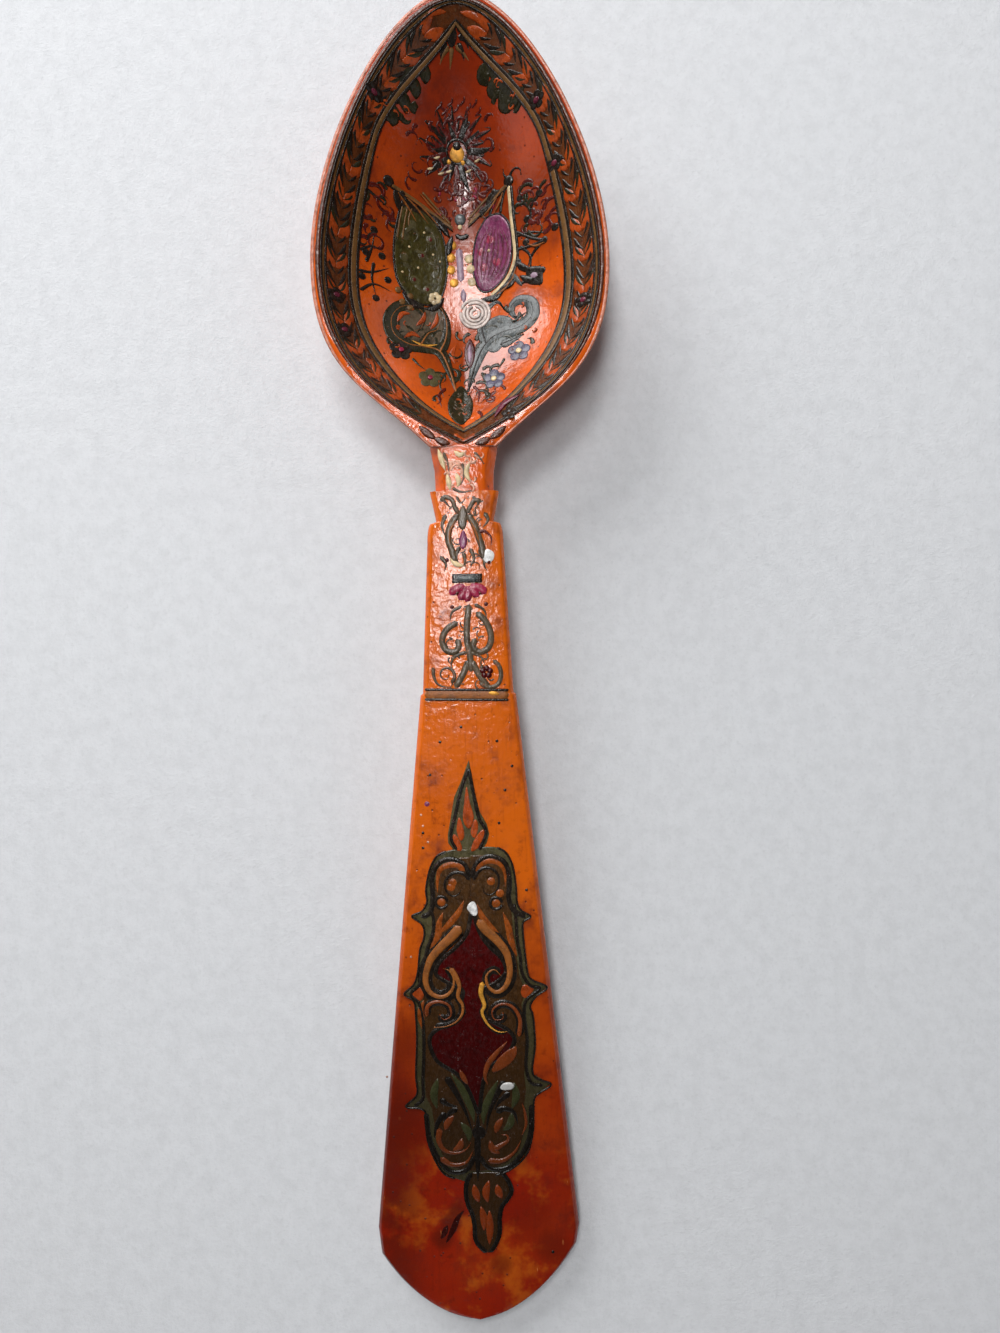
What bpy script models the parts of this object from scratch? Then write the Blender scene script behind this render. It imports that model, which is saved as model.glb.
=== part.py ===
"""Painted wooden spoon, lying on its back with the bowl open upwards.

The wood is carved in two lengths: the bowl with its neck, and the handle. A tongue on the neck is
glued into a slot in the handle. On the wood lie raised layers of paint and gilding, each a thin
solid that follows the surface under it.

X runs across the spoon, Y along it towards the tip of the bowl, and Z up. The origin is on the
table, under the middle of the spoon.
"""

import math

import bmesh
import bpy
import numpy as np

MM = 0.001

# Lengths along the spoon, from the tip of the bowl to the end of the handle
BOWL_LENGTH = 71.8 * MM
NECK_LENGTH = 7.2 * MM
COLLAR_LENGTH = 5.0 * MM
SHANK_LENGTH = 28.0 * MM
BLADE_LENGTH = 91.5 * MM
END_LENGTH = 16.5 * MM

# Bowl
BOWL_WIDTH = 48.0 * MM
WIDEST_FROM_TIP = 42.5 * MM
TIP_RIM_HEIGHT = 17.0 * MM
ROOT_RIM_HEIGHT = 14.0 * MM
RIM_WALL = 1.6 * MM
FLOOR_WALL = 2.4 * MM
FOOT_WIDTH = 10.0 * MM
TIP_ROUNDING = 10.9 * MM
UPPER_SIDE_RUN = 17.5 * MM
LOWER_SIDE_RUN = 17.4 * MM
ROOT_RUN = 13.8 * MM
HOLLOW_ROOT_STEP = 0.5 * MM
HOLLOW_TIP_ROUNDING = 9.9 * MM
HOLLOW_LOWER_RUN = 16.4 * MM
HOLLOW_ROOT_REACH = 11.4 * MM
HOLLOW_ROOT_RISE = 5.4 * MM
HOLLOW_STEEPNESS = 2.4
OUTSIDE_STEEPNESS = 2.0

# Neck and its tongue
NECK_ROOT_WIDTH = 11.0 * MM
NECK_MIDDLE_WIDTH = 9.7 * MM
NECK_END_WIDTH = 9.5 * MM
NECK_END_HEIGHT = 13.7 * MM
NECK_ROOT_BOTTOM = 6.1 * MM
NECK_MIDDLE_BOTTOM = 6.7 * MM
NECK_END_BOTTOM = 7.1 * MM
NECK_CHAMFER = 1.5 * MM
KEEL_RUN = 11.0 * MM
KEEL_BOTTOM = 4.6 * MM
TONGUE_WIDTH = 5.0 * MM
TONGUE_THICKNESS = 2.6 * MM
TONGUE_LENGTH = 14.0 * MM
TONGUE_BOTTOM = 8.8 * MM

# Handle
COLLAR_WIDTH = 11.2 * MM
COLLAR_WAIST_WIDTH = 9.4 * MM
SHOULDER_WIDTH = 11.2 * MM
SHOULDER_LENGTH = 3.4 * MM
NOTCH_LENGTH = 0.3 * MM
SHANK_WIDTH = 12.5 * MM
SHANK_END_WIDTH = 15.0 * MM
BLADE_START_WIDTH = 15.8 * MM
BLADE_END_WIDTH = 34.6 * MM
CORNER_WIDTH = 33.6 * MM
CORNER_RUN = 3.9 * MM
CORNER_PULL = 6.4 * MM
CORNER_LEAN = 30.0
END_PULL = 7.2 * MM
END_FLAT = 1.0 * MM
END_SLANT = 0.04
BLADE_THICKNESS = 4.2 * MM
END_THICKNESS = 3.0 * MM
END_LIFT = 0.8 * MM
TOP_ARCH = 0.5 * MM
TOP_CAMBER = 0.3 * MM
HANDLE_CHAMFER = 0.7 * MM
UNDER_CHAMFER = 1.2 * MM
CHAMFER_LIMIT = 0.4

# Paint layers
PAINT_THICKNESS = 0.35 * MM
PIECE_GAP = 0.3 * MM
BORDER_WIDTH = 3.0 * MM
BORDER_END_WIDTH = 1.6 * MM
BORDER_TAPER = 8
GILT_LINE_WIDTH = 0.7 * MM
SUN_RADIUS = 7.3 * MM
SUN_WAIST = 3.4 * MM
SUN_DISC_RADIUS = 1.5 * MM
SUN_RAYS = 16
BEAD_RADIUS = 0.75 * MM
BEAD_SPACE = 0.45 * MM
FLOWER_RADIUS = 1.7 * MM
FLOWER_PETALS = 5
PETAL_DEPTH = 0.2
STAFF_WIDTH = 0.9 * MM
SCROLL_WIDTH = 1.1 * MM
BAND_WIDTH = 1.9 * MM
BAND_END_SPACE = 1.0 * MM
FINIAL_RADIUS = 0.85 * MM
BOWL_CURL_RADIUS = 2.0 * MM
BOWL_CURL_TURN = (210.0, -30.0)
SHANK_CURL_RADIUS = 1.5 * MM
SHANK_CURL_WIDTH = 0.7 * MM
SHANK_CURL_TURN = (-60.0, 210.0)
LEAF_SHIFT = 0.04

# Fineness of the faceted surfaces
OUTLINE_STEPS = 16
BOWL_RINGS = 8
BOWL_CUT_STEP = 4.0 * MM
HANDLE_CUT_STEP = 8.0 * MM
CUT_SNAP = 0.05 * MM
NORMAL_STEP = 0.05 * MM

# Places along the spoon, worked out from the lengths
HANDLE_LENGTH = COLLAR_LENGTH + SHANK_LENGTH + BLADE_LENGTH + END_LENGTH
TOTAL_LENGTH = BOWL_LENGTH + NECK_LENGTH + HANDLE_LENGTH
TIP_Y = TOTAL_LENGTH / 2
ROOT_Y = TIP_Y - BOWL_LENGTH
JOINT_Y = ROOT_Y - NECK_LENGTH
SHANK_Y = JOINT_Y - COLLAR_LENGTH
BLADE_Y = SHANK_Y - SHANK_LENGTH
REST_Y = BLADE_Y - BLADE_LENGTH
END_Y = REST_Y - END_LENGTH
WIDEST_Y = TIP_Y - WIDEST_FROM_TIP


class Finish:
    """A plain material: its colour, roughness and metallic value."""

    def __init__(self, name, colour, roughness, metallic=0.0):
        self.name = name
        self.colour = colour
        self.roughness = roughness
        self.metallic = metallic

    def material(self):
        """Return the Blender material of this finish, made on its first use."""
        found = bpy.data.materials.get(self.name)
        if found:
            return found
        made = bpy.data.materials.new(self.name)
        made.use_nodes = True
        shader = made.node_tree.nodes["Principled BSDF"]
        shader.inputs["Base Color"].default_value = (*self.colour, 1.0)
        shader.inputs["Roughness"].default_value = self.roughness
        shader.inputs["Metallic"].default_value = self.metallic
        return made


ORANGE_WOOD = Finish("orange_lacquer", (0.60, 0.10, 0.010), 0.25)
RED_WOOD = Finish("red_lacquer", (0.42, 0.055, 0.010), 0.25)
OLIVE = Finish("olive_paint", (0.045, 0.045, 0.018), 0.35)
DARK = Finish("dark_paint", (0.020, 0.014, 0.010), 0.35)
GILT = Finish("gilding", (0.50, 0.24, 0.045), 0.30, 0.3)
MAROON = Finish("maroon_paint", (0.075, 0.004, 0.004), 0.30)
GREEN = Finish("green_paint", (0.030, 0.050, 0.012), 0.35)
PURPLE = Finish("purple_paint", (0.17, 0.035, 0.10), 0.30)
CREAM = Finish("cream_paint", (0.65, 0.55, 0.32), 0.35)
ROSE = Finish("rose_paint", (0.30, 0.02, 0.05), 0.35)


def clear_scene():
    """Remove every object that the scene starts with."""
    for item in list(bpy.data.objects):
        bpy.data.objects.remove(item, do_unlink=True)


def smooth(obj, angle=40.0):
    """Shade an object's mesh smooth, with its sharp edges kept."""
    obj.data.shade_smooth()
    obj.data.set_sharp_from_angle(angle=math.radians(angle))


def mesh_object(name, points, faces, finish):
    """Make one object from points and faces, with its normals out."""
    mesh = bpy.data.meshes.new(name)
    mesh.from_pydata([tuple(p) for p in points], [], faces)
    work = bmesh.new()
    work.from_mesh(mesh)
    bmesh.ops.recalc_face_normals(work, faces=work.faces)
    work.to_mesh(mesh)
    work.free()
    obj = bpy.data.objects.new(name, mesh)
    bpy.context.scene.collection.objects.link(obj)
    mesh.materials.append(finish.material())
    smooth(obj)
    return obj


def cutter(obj):
    """Mark an object as a guide that only another object's Boolean uses."""
    obj.hide_render = True
    obj.display_type = "WIRE"
    return obj


def boolean(obj, other, operation):
    """Join or cut an object with another by an exact Boolean modifier."""
    step = obj.modifiers.new(f"{operation.lower()}_{other.name}", "BOOLEAN")
    step.operation = operation
    step.solver = "EXACT"
    step.object = other


def bezier(start, start_pull, end_pull, end, steps):
    """Points of a cubic curve in the plane, both ends included."""
    t = np.linspace(0.0, 1.0, steps + 1)[:, None]
    near = (1 - t) ** 3 * np.array(start) + 3 * (1 - t) ** 2 * t * np.array(start_pull)
    far = 3 * (1 - t) * t ** 2 * np.array(end_pull) + t ** 3 * np.array(end)
    return near + far


def mirrored(half):
    """Close a right-hand half outline with its mirror image across X = 0."""
    half = [tuple(p) for p in half]
    left = [(-x, y) for x, y in reversed(half) if abs(x) > 1e-7]
    return half + left


def outer_half():
    """The bowl's outline from the tip down its right side to the neck."""
    wide = BOWL_WIDTH / 2
    root = (NECK_ROOT_WIDTH / 2, ROOT_Y)
    diagonal = ROOT_RUN * math.sqrt(0.5)
    root_pull = (root[0] + diagonal, root[1] + diagonal)
    upper = bezier((0.0, TIP_Y), (TIP_ROUNDING, TIP_Y), (wide, WIDEST_Y + UPPER_SIDE_RUN),
                   (wide, WIDEST_Y), OUTLINE_STEPS)
    lower = bezier((wide, WIDEST_Y), (wide, WIDEST_Y - LOWER_SIDE_RUN), root_pull, root,
                   OUTLINE_STEPS)
    return np.vstack([upper, lower[1:]])


def hollow_half():
    """The hollow's outline at the rim, from the tip down its right side to the neck."""
    wide = BOWL_WIDTH / 2 - RIM_WALL
    tip = (0.0, TIP_Y - RIM_WALL)
    root = (0.0, ROOT_Y + HOLLOW_ROOT_STEP)
    root_pull = (HOLLOW_ROOT_REACH, root[1] + HOLLOW_ROOT_RISE)
    upper = bezier(tip, (HOLLOW_TIP_ROUNDING, tip[1]), (wide, WIDEST_Y + UPPER_SIDE_RUN),
                   (wide, WIDEST_Y), OUTLINE_STEPS)
    lower = bezier((wide, WIDEST_Y), (wide, WIDEST_Y - HOLLOW_LOWER_RUN), root_pull, root,
                   OUTLINE_STEPS)
    return np.vstack([upper, lower[1:]])


def rim_height(y):
    """Height of the rim's plane over the table."""
    share = (y - ROOT_Y) / BOWL_LENGTH
    return ROOT_RIM_HEIGHT + share * (TIP_RIM_HEIGHT - ROOT_RIM_HEIGHT)


class Hollow:
    """The surface inside the bowl, as a height over each point of the plan."""

    def __init__(self):
        half = hollow_half()
        self.turn = np.arctan2(half[:, 0], half[:, 1] - WIDEST_Y)
        self.reach = np.hypot(half[:, 0], half[:, 1] - WIDEST_Y)

    def height(self, x, y):
        """Height of the hollow's surface over the table."""
        turn = math.atan2(abs(x), y - WIDEST_Y)
        reach = float(np.interp(turn, self.turn, self.reach))
        share = math.hypot(x, y - WIDEST_Y) / reach
        rim = rim_height(WIDEST_Y + reach * math.cos(turn))
        return FLOOR_WALL + (rim - FLOOR_WALL) * share ** HOLLOW_STEEPNESS

    def inset(self, x, y, distance, end_distance):
        """Move a point of the rim's outline towards the bowl's middle, less so at the ends."""
        reach = math.hypot(x, y - WIDEST_Y)
        lengthwise = ((y - WIDEST_Y) / reach) ** BORDER_TAPER
        share = (reach - distance - lengthwise * (end_distance - distance)) / reach
        return x * share, WIDEST_Y + (y - WIDEST_Y) * share


class HandleTop:
    """The upper face of the neck and the handle, arched along and cambered across."""

    def height(self, x, y):
        """Height of the upper face over the table."""
        camber = TOP_CAMBER * (x / half_width(y)) ** 2
        return top_height(y) - camber


def normal_at(surface, x, y):
    """Unit normal of a height surface, from small steps to either side."""
    step = NORMAL_STEP
    slope_x = (surface.height(x + step, y) - surface.height(x - step, y)) / (2 * step)
    slope_y = (surface.height(x, y + step) - surface.height(x, y - step)) / (2 * step)
    normal = np.array([-slope_x, -slope_y, 1.0])
    return normal / np.linalg.norm(normal)


def top_height(y):
    """Height of the handle's middle line over the table."""
    if y > JOINT_Y:
        share = (y - JOINT_Y) / NECK_LENGTH
        return NECK_END_HEIGHT + share * (ROOT_RIM_HEIGHT - NECK_END_HEIGHT)
    if y < REST_Y:
        share = (REST_Y - y) / END_LENGTH
        return BLADE_THICKNESS + share * (END_LIFT + END_THICKNESS - BLADE_THICKNESS)
    share = (JOINT_Y - y) / (JOINT_Y - REST_Y)
    arch = TOP_ARCH * 4 * share * (1 - share)
    return NECK_END_HEIGHT + share * (BLADE_THICKNESS - NECK_END_HEIGHT) + arch


def bottom_height(y):
    """Height of the handle's underside over the table."""
    if y < REST_Y:
        return END_LIFT * (REST_Y - y) / END_LENGTH
    share = (JOINT_Y - y) / (JOINT_Y - REST_Y)
    return NECK_END_BOTTOM * (1 - share)


def end_curve():
    """The rounded end of the blade, from its corner to its last point, as X and Y."""
    corner_y = REST_Y - CORNER_RUN
    lean = math.atan2(corner_y - END_Y, CORNER_WIDTH / 2) + math.radians(CORNER_LEAN)
    corner = (CORNER_WIDTH / 2, corner_y)
    inward = CORNER_PULL * math.cos(lean)
    corner_pull = (corner[0] - inward, corner_y - CORNER_PULL * math.sin(lean))
    return bezier(corner, corner_pull, (END_PULL, END_Y), (0.0, END_Y), 9)


def handle_plan():
    """Places along the handle from the collar to the end, each with its half width."""
    plan = [(JOINT_Y - PIECE_GAP / 2, COLLAR_WIDTH / 2)]
    plan.append((SHANK_Y + NOTCH_LENGTH, COLLAR_WAIST_WIDTH / 2))
    for turn in (0.0, 30.0, 60.0, 90.0):
        out = math.sin(math.radians(turn))
        down = 1 - math.cos(math.radians(turn))
        half = (SHOULDER_WIDTH + out * (SHANK_WIDTH - SHOULDER_WIDTH)) / 2
        plan.append((SHANK_Y - down * SHOULDER_LENGTH, half))
    for y_from, y_to, width_from, width_to, steps in (
            (SHANK_Y - SHOULDER_LENGTH, BLADE_Y + NOTCH_LENGTH, SHANK_WIDTH, SHANK_END_WIDTH, 2),
            (BLADE_Y + NOTCH_LENGTH, BLADE_Y, SHANK_END_WIDTH, BLADE_START_WIDTH, 1),
            (BLADE_Y, REST_Y, BLADE_START_WIDTH, BLADE_END_WIDTH, 6)):
        for k in range(1, steps + 1):
            share = k / steps
            y = y_from + share * (y_to - y_from)
            plan.append((y, (width_from + share * (width_to - width_from)) / 2))
    plan += [(y, max(x, END_FLAT / 2)) for x, y in end_curve()]
    return plan


def half_width(y):
    """Half of the handle's width at a place along the spoon, by its plan."""
    plan = handle_plan()[::-1]
    return float(np.interp(y, [place for place, _ in plan], [half for _, half in plan]))


def section(y, half, top, bottom, top_chamfer, under_chamfer, slant=0.0):
    """One cross-section with chamfered corners and a cambered upper face, slanting in plan or not."""
    flat = half - min(top_chamfer, CHAMFER_LIMIT * half)
    sole = half - min(under_chamfer, CHAMFER_LIMIT * half)
    drop = half - flat
    rise = half - sole
    across = [-flat, -flat / 2, 0.0, flat / 2, flat]
    upper = [(x, top - TOP_CAMBER * (x / half) ** 2) for x in across]
    right = [(half, top - TOP_CAMBER - drop), (half, bottom + rise)]
    under = [(sole, bottom), (-sole, bottom)]
    left = [(-half, bottom + rise), (-half, top - TOP_CAMBER - drop)]
    return [(x, y + slant * x, z) for x, z in upper + right + under + left]


def loft(name, rings, finish):
    """Join rings of equally many points into one closed solid with flat ends."""
    count = len(rings[0])
    points = [p for ring in rings for p in ring]
    faces = [tuple(range(count)), tuple(range(len(points) - count, len(points)))]
    for ring in range(len(rings) - 1):
        low = ring * count
        high = low + count
        for k in range(count):
            after = (k + 1) % count
            faces.append((low + k, low + after, high + after, high + k))
    return mesh_object(name, points, faces, finish)


def block(name, half, y_from, y_to, z_from, z_to, finish):
    """A plain box across the middle of the spoon."""
    rings = []
    for y in (y_from, y_to):
        rings.append([(-half, y, z_from), (half, y, z_from), (half, y, z_to), (-half, y, z_to)])
    return loft(name, rings, finish)


def shell_rings(outline, shares, height):
    """Rings of points, each the outline drawn in towards the bowl's middle."""
    rings = []
    for share in shares:
        ring = []
        for x, y in outline:
            drawn_y = WIDEST_Y + (y - WIDEST_Y) * share
            ring.append((x * share, drawn_y, height(x, y, share)))
        rings.append(ring)
    return rings


def build_bowl():
    """The bowl with its neck and tongue, hollowed out of one length of wood."""
    foot_share = FOOT_WIDTH / BOWL_WIDTH

    def outside(x, y, share):
        rise = (share - foot_share) / (1 - foot_share)
        return rim_height(y) * max(rise, 0.0) ** OUTSIDE_STEEPNESS

    shares = np.linspace(foot_share, 1.0, BOWL_RINGS + 1)
    bowl = loft("bowl", shell_rings(mirrored(outer_half()), shares, outside), RED_WOOD)

    end_y = JOINT_Y + PIECE_GAP / 2
    middle_y = JOINT_Y + NECK_LENGTH / 2
    stations = []
    for y, width, top, bottom in (
            (end_y, NECK_END_WIDTH, top_height(end_y), NECK_END_BOTTOM),
            (middle_y, NECK_MIDDLE_WIDTH, top_height(middle_y), NECK_MIDDLE_BOTTOM),
            (ROOT_Y, NECK_ROOT_WIDTH, ROOT_RIM_HEIGHT, NECK_ROOT_BOTTOM),
            (ROOT_Y + KEEL_RUN, NECK_ROOT_WIDTH, ROOT_RIM_HEIGHT, KEEL_BOTTOM)):
        stations.append(section(y, width / 2, top, bottom, NECK_CHAMFER, NECK_CHAMFER))
    boolean(bowl, cutter(loft("guide_neck", stations, RED_WOOD)), "UNION")

    tongue = block("guide_tongue", TONGUE_WIDTH / 2, JOINT_Y - TONGUE_LENGTH, middle_y,
                   TONGUE_BOTTOM, TONGUE_BOTTOM + TONGUE_THICKNESS, RED_WOOD)
    boolean(bowl, cutter(tongue), "UNION")

    hollow = Hollow()

    def inside(x, y, share):
        return hollow.height(x * share, WIDEST_Y + (y - WIDEST_Y) * share)

    shares = np.linspace(0.0, 1.0, BOWL_RINGS + 1)[1:]
    rings = shell_rings(mirrored(hollow_half()), shares, inside)
    rings.append([(x, y, z + ROOT_RIM_HEIGHT) for x, y, z in rings[-1]])
    boolean(bowl, cutter(loft("guide_hollow", rings, RED_WOOD)), "DIFFERENCE")


def build_handle():
    """The handle: collar, shank and blade, with a slot for the tongue."""
    sections = []
    for y, half in handle_plan():
        slant = END_SLANT if y < REST_Y - NOTCH_LENGTH else 0.0
        top = top_height(y)
        bottom = bottom_height(y)
        sections.append(section(y, half, top, bottom, HANDLE_CHAMFER, UNDER_CHAMFER, slant))
    handle = loft("handle", sections, ORANGE_WOOD)

    slot_z = TONGUE_BOTTOM - PIECE_GAP
    slot_top = TONGUE_BOTTOM + TONGUE_THICKNESS + PIECE_GAP
    slot = block("guide_slot", TONGUE_WIDTH / 2 + PIECE_GAP, JOINT_Y - TONGUE_LENGTH - PIECE_GAP,
                 JOINT_Y + NECK_LENGTH / 2, slot_z, slot_top, ORANGE_WOOD)
    boolean(handle, cutter(slot), "DIFFERENCE")


def flat_polygon(points):
    """A flat patch with one face."""
    patch = bmesh.new()
    patch.faces.new([patch.verts.new((x, y, 0.0)) for x, y in points])
    return patch


def flat_strip(left, right, closed):
    """A flat patch of quads between two lines of equally many points."""
    patch = bmesh.new()
    first = [patch.verts.new((x, y, 0.0)) for x, y in left]
    second = [patch.verts.new((x, y, 0.0)) for x, y in right]
    count = len(first)
    for k in range(count if closed else count - 1):
        after = (k + 1) % count
        patch.faces.new((first[k], first[after], second[after], second[k]))
    return patch


def ribbon(line, width):
    """A flat patch of even width along a line."""
    line = np.array(line)
    along = np.gradient(line, axis=0)
    along /= np.linalg.norm(along, axis=1)[:, None]
    side = np.stack([-along[:, 1], along[:, 0]], axis=1)
    return flat_strip(line + side * width / 2, line - side * width / 2, False)


def cut_patch(patch, step, start, across):
    """Cut a flat patch along a grid, so that it can follow a curved surface."""
    ys = [v.co.y - start for v in patch.verts]
    xs = [v.co.x for v in patch.verts]
    lines = []
    for k in range(math.ceil(min(ys) / step), math.floor(max(ys) / step) + 1):
        lines.append(((0.0, start + k * step, 0.0), (0.0, 1.0, 0.0)))
    if across:
        for k in range(math.ceil(min(xs) / step), math.floor(max(xs) / step) + 1):
            lines.append(((k * step, 0.0, 0.0), (1.0, 0.0, 0.0)))
    else:
        lines.append(((0.0, 0.0, 0.0), (1.0, 0.0, 0.0)))
    for place, normal in lines:
        geometry = patch.verts[:] + patch.edges[:] + patch.faces[:]
        bmesh.ops.bisect_plane(patch, geom=geometry, dist=CUT_SNAP, plane_co=place, plane_no=normal)


def lay(name, patch, surface, finish):
    """Lay a flat patch on a surface as a thin closed layer of paint."""
    if isinstance(surface, Hollow):
        cut_patch(patch, BOWL_CUT_STEP, WIDEST_Y, True)
    else:
        cut_patch(patch, HANDLE_CUT_STEP, BLADE_Y, False)
    bmesh.ops.triangulate(patch, faces=patch.faces[:])
    patch.normal_update()
    if sum(f.normal.z * f.calc_area() for f in patch.faces) < 0:
        bmesh.ops.reverse_faces(patch, faces=patch.faces[:])
    patch.verts.index_update()
    places = [(v.co.x, v.co.y) for v in patch.verts]
    low = []
    high = []
    for x, y in places:
        foot = np.array([x, y, surface.height(x, y)])
        normal = normal_at(surface, x, y)
        low.append(foot + normal * PIECE_GAP)
        high.append(foot + normal * (PIECE_GAP + PAINT_THICKNESS))
    count = len(places)
    faces = []
    for face in patch.faces:
        ids = [v.index for v in face.verts]
        faces.append(tuple(i + count for i in ids))
        faces.append(tuple(reversed(ids)))
    for edge in patch.edges:
        if edge.is_boundary:
            loop = edge.link_loops[0]
            start = loop.vert.index
            end = loop.link_loop_next.vert.index
            faces.append((start, end, end + count, start + count))
    patch.free()
    return mesh_object(name, low + high, faces, finish)


def disc(centre, radius, sides=12):
    """Points of a round outline."""
    turns = [2 * math.pi * k / sides for k in range(sides)]
    return [(centre[0] + radius * math.sin(t), centre[1] + radius * math.cos(t)) for t in turns]


def petals(centre):
    """Points of a flower outline with round petals."""
    points = []
    steps = 4 * FLOWER_PETALS
    for k in range(steps):
        turn = 2 * math.pi * k / steps
        reach = FLOWER_RADIUS * (1 - PETAL_DEPTH + PETAL_DEPTH * math.cos(FLOWER_PETALS * turn))
        points.append((centre[0] + reach * math.sin(turn), centre[1] + reach * math.cos(turn)))
    return points


def arc(centre, radius, start, end, steps=10):
    """Points of an arc, with angles in degrees clockwise from +Y."""
    turns = np.radians(np.linspace(start, end, steps))
    return [(centre[0] + radius * math.sin(t), centre[1] + radius * math.cos(t)) for t in turns]


def bowl_place(across, along):
    """A point of the plan, as shares of the hollow's half width and its upper or lower length."""
    x = across * (BOWL_WIDTH / 2 - RIM_WALL)
    if along >= 0:
        return x, WIDEST_Y + along * (TIP_Y - RIM_WALL - WIDEST_Y)
    return x, WIDEST_Y + along * (WIDEST_Y - ROOT_Y - HOLLOW_ROOT_STEP)


def shank_place(across, along):
    """A point of the plan, as shares of the shank's half width and of its length."""
    return across * SHANK_WIDTH / 2, SHANK_Y - along * SHANK_LENGTH


def blade_place(across, along):
    """A point of the plan, as shares of the blade's half width there and of its whole length."""
    y = BLADE_Y - along * (BLADE_LENGTH + END_LENGTH)
    return across * half_width(y), y


def placed(place, shares, side=1):
    """Turn an outline in shares into points of the plan, on one side of the spoon."""
    return [place(side * across, along) for across, along in shares]


def build_border():
    """The dark band inside the rim, with the gilt line along its inner edge."""
    hollow = Hollow()
    rim = mirrored(hollow_half())

    def rim_line(distance):
        side = PIECE_GAP + BORDER_WIDTH + distance
        end = PIECE_GAP + BORDER_END_WIDTH + distance
        return [hollow.inset(x, y, side, end) for x, y in rim]

    band_edge = [hollow.inset(x, y, PIECE_GAP, PIECE_GAP) for x, y in rim]
    lay("border_band", flat_strip(band_edge, rim_line(0.0), True), hollow, OLIVE)
    gilt = flat_strip(rim_line(PIECE_GAP), rim_line(PIECE_GAP + GILT_LINE_WIDTH), True)
    lay("border_gilt_line", gilt, hollow, GILT)


def build_sun():
    """The sun in the upper part of the bowl: pointed rays round a gilt disc."""
    hollow = Hollow()
    middle = bowl_place(-0.02, 0.535)
    rays = []
    for k in range(2 * SUN_RAYS):
        turn = math.pi * k / SUN_RAYS
        reach = SUN_WAIST if k % 2 else SUN_RADIUS
        rays.append((middle[0] + reach * math.sin(turn), middle[1] + reach * math.cos(turn)))
    hole = disc(middle, SUN_DISC_RADIUS + PIECE_GAP, 2 * SUN_RAYS)
    lay("sun_rays", flat_strip(rays, hole, True), hollow, MAROON)
    lay("sun_disc", flat_polygon(disc(middle, SUN_DISC_RADIUS)), hollow, GILT)


def build_trophy():
    """The two lobes under crossed staffs, with the beads between them."""
    hollow = Hollow()
    green = [(-0.42, 0.286), (-0.48, 0.208), (-0.50, 0.103), (-0.46, -0.003), (-0.38, -0.087),
             (-0.25, -0.101), (-0.15, -0.045), (-0.13, 0.132), (-0.16, 0.222), (-0.24, 0.257),
             (-0.34, 0.271)]
    lay("green_lobe", flat_polygon(placed(bowl_place, green)), hollow, GREEN)
    purple = [(0.21, 0.267), (0.14, 0.218), (0.12, 0.139), (0.12, 0.044), (0.17, 0.002),
              (0.28, 0.032), (0.34, 0.108), (0.35, 0.198), (0.31, 0.271)]
    lay("purple_lobe", flat_polygon(placed(bowl_place, purple)), hollow, PURPLE)
    left = [(-0.54, 0.418), (-0.43, 0.379), (-0.29, 0.330), (-0.17, 0.284), (-0.07, 0.242)]
    right = [(0.40, 0.418), (0.29, 0.374), (0.17, 0.328), (0.08, 0.281), (0.01, 0.242)]
    for name, line, end in (("left", left, (-0.59, 0.435)), ("right", right, (0.44, 0.443))):
        lay(f"{name}_staff", ribbon(placed(bowl_place, line), STAFF_WIDTH), hollow, DARK)
        lay(f"{name}_finial", flat_polygon(disc(bowl_place(*end), FINIAL_RADIUS)), hollow, DARK)
    pole = [(0.41, 0.369), (0.42, 0.293), (0.42, 0.213), (0.41, 0.108), (0.37, 0.034),
            (0.29, -0.021), (0.21, -0.052)]
    lay("curved_pole", ribbon(placed(bowl_place, pole), STAFF_WIDTH), hollow, GILT)
    columns = (("gilt_bead", (-0.08, 0.186), 4, GILT), ("cream_bead", (0.06, 0.137), 3, CREAM))
    for name, top, count, finish in columns:
        x, y = bowl_place(*top)
        for k in range(count):
            centre = (x, y - k * (2 * BEAD_RADIUS + BEAD_SPACE))
            lay(f"{name}_{k + 1}", flat_polygon(disc(centre, BEAD_RADIUS, 10)), hollow, finish)


def build_bowl_sprays():
    """Scrolls, flowers, bud, palmette and pendant inside the bowl."""
    hollow = Hollow()
    for name, side in (("left", -1), ("right", 1)):
        turns = [side * turn for turn in BOWL_CURL_TURN]
        curl = arc(bowl_place(side * 0.49, -0.219), BOWL_CURL_RADIUS, *turns)
        stem = [(0.38, -0.177), (0.29, -0.212), (0.20, -0.295), (0.13, -0.385)]
        line = curl + placed(bowl_place, stem, side)
        lay(f"{name}_scroll", ribbon(line, SCROLL_WIDTH), hollow, OLIVE)
        for row, across, along in (("outer", 0.46, -0.399), ("inner", 0.24, -0.559)):
            outline = petals(bowl_place(side * across, along))
            lay(f"{name}_{row}_flower", flat_polygon(outline), hollow, DARK)
    bud = [(0.03, -0.309), (0.08, -0.351), (0.08, -0.413), (0.04, -0.483), (0.00, -0.503),
           (-0.04, -0.469), (-0.05, -0.399), (-0.03, -0.337)]
    lay("bud", flat_polygon(placed(bowl_place, bud)), hollow, MAROON)
    palmette = [(0.00, -0.587), (0.04, -0.622), (0.12, -0.628), (0.11, -0.684),
                (0.13, -0.733), (0.07, -0.753), (0.00, -0.795)]
    lay("palmette", flat_polygon(mirrored(placed(bowl_place, palmette))), hollow, OLIVE)
    pendant = [(0.00, 0.853), (0.06, 0.829), (0.10, 0.790), (0.06, 0.756), (0.00, 0.726)]
    lay("tip_pendant", flat_polygon(mirrored(placed(bowl_place, pendant))), hollow, DARK)


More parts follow.
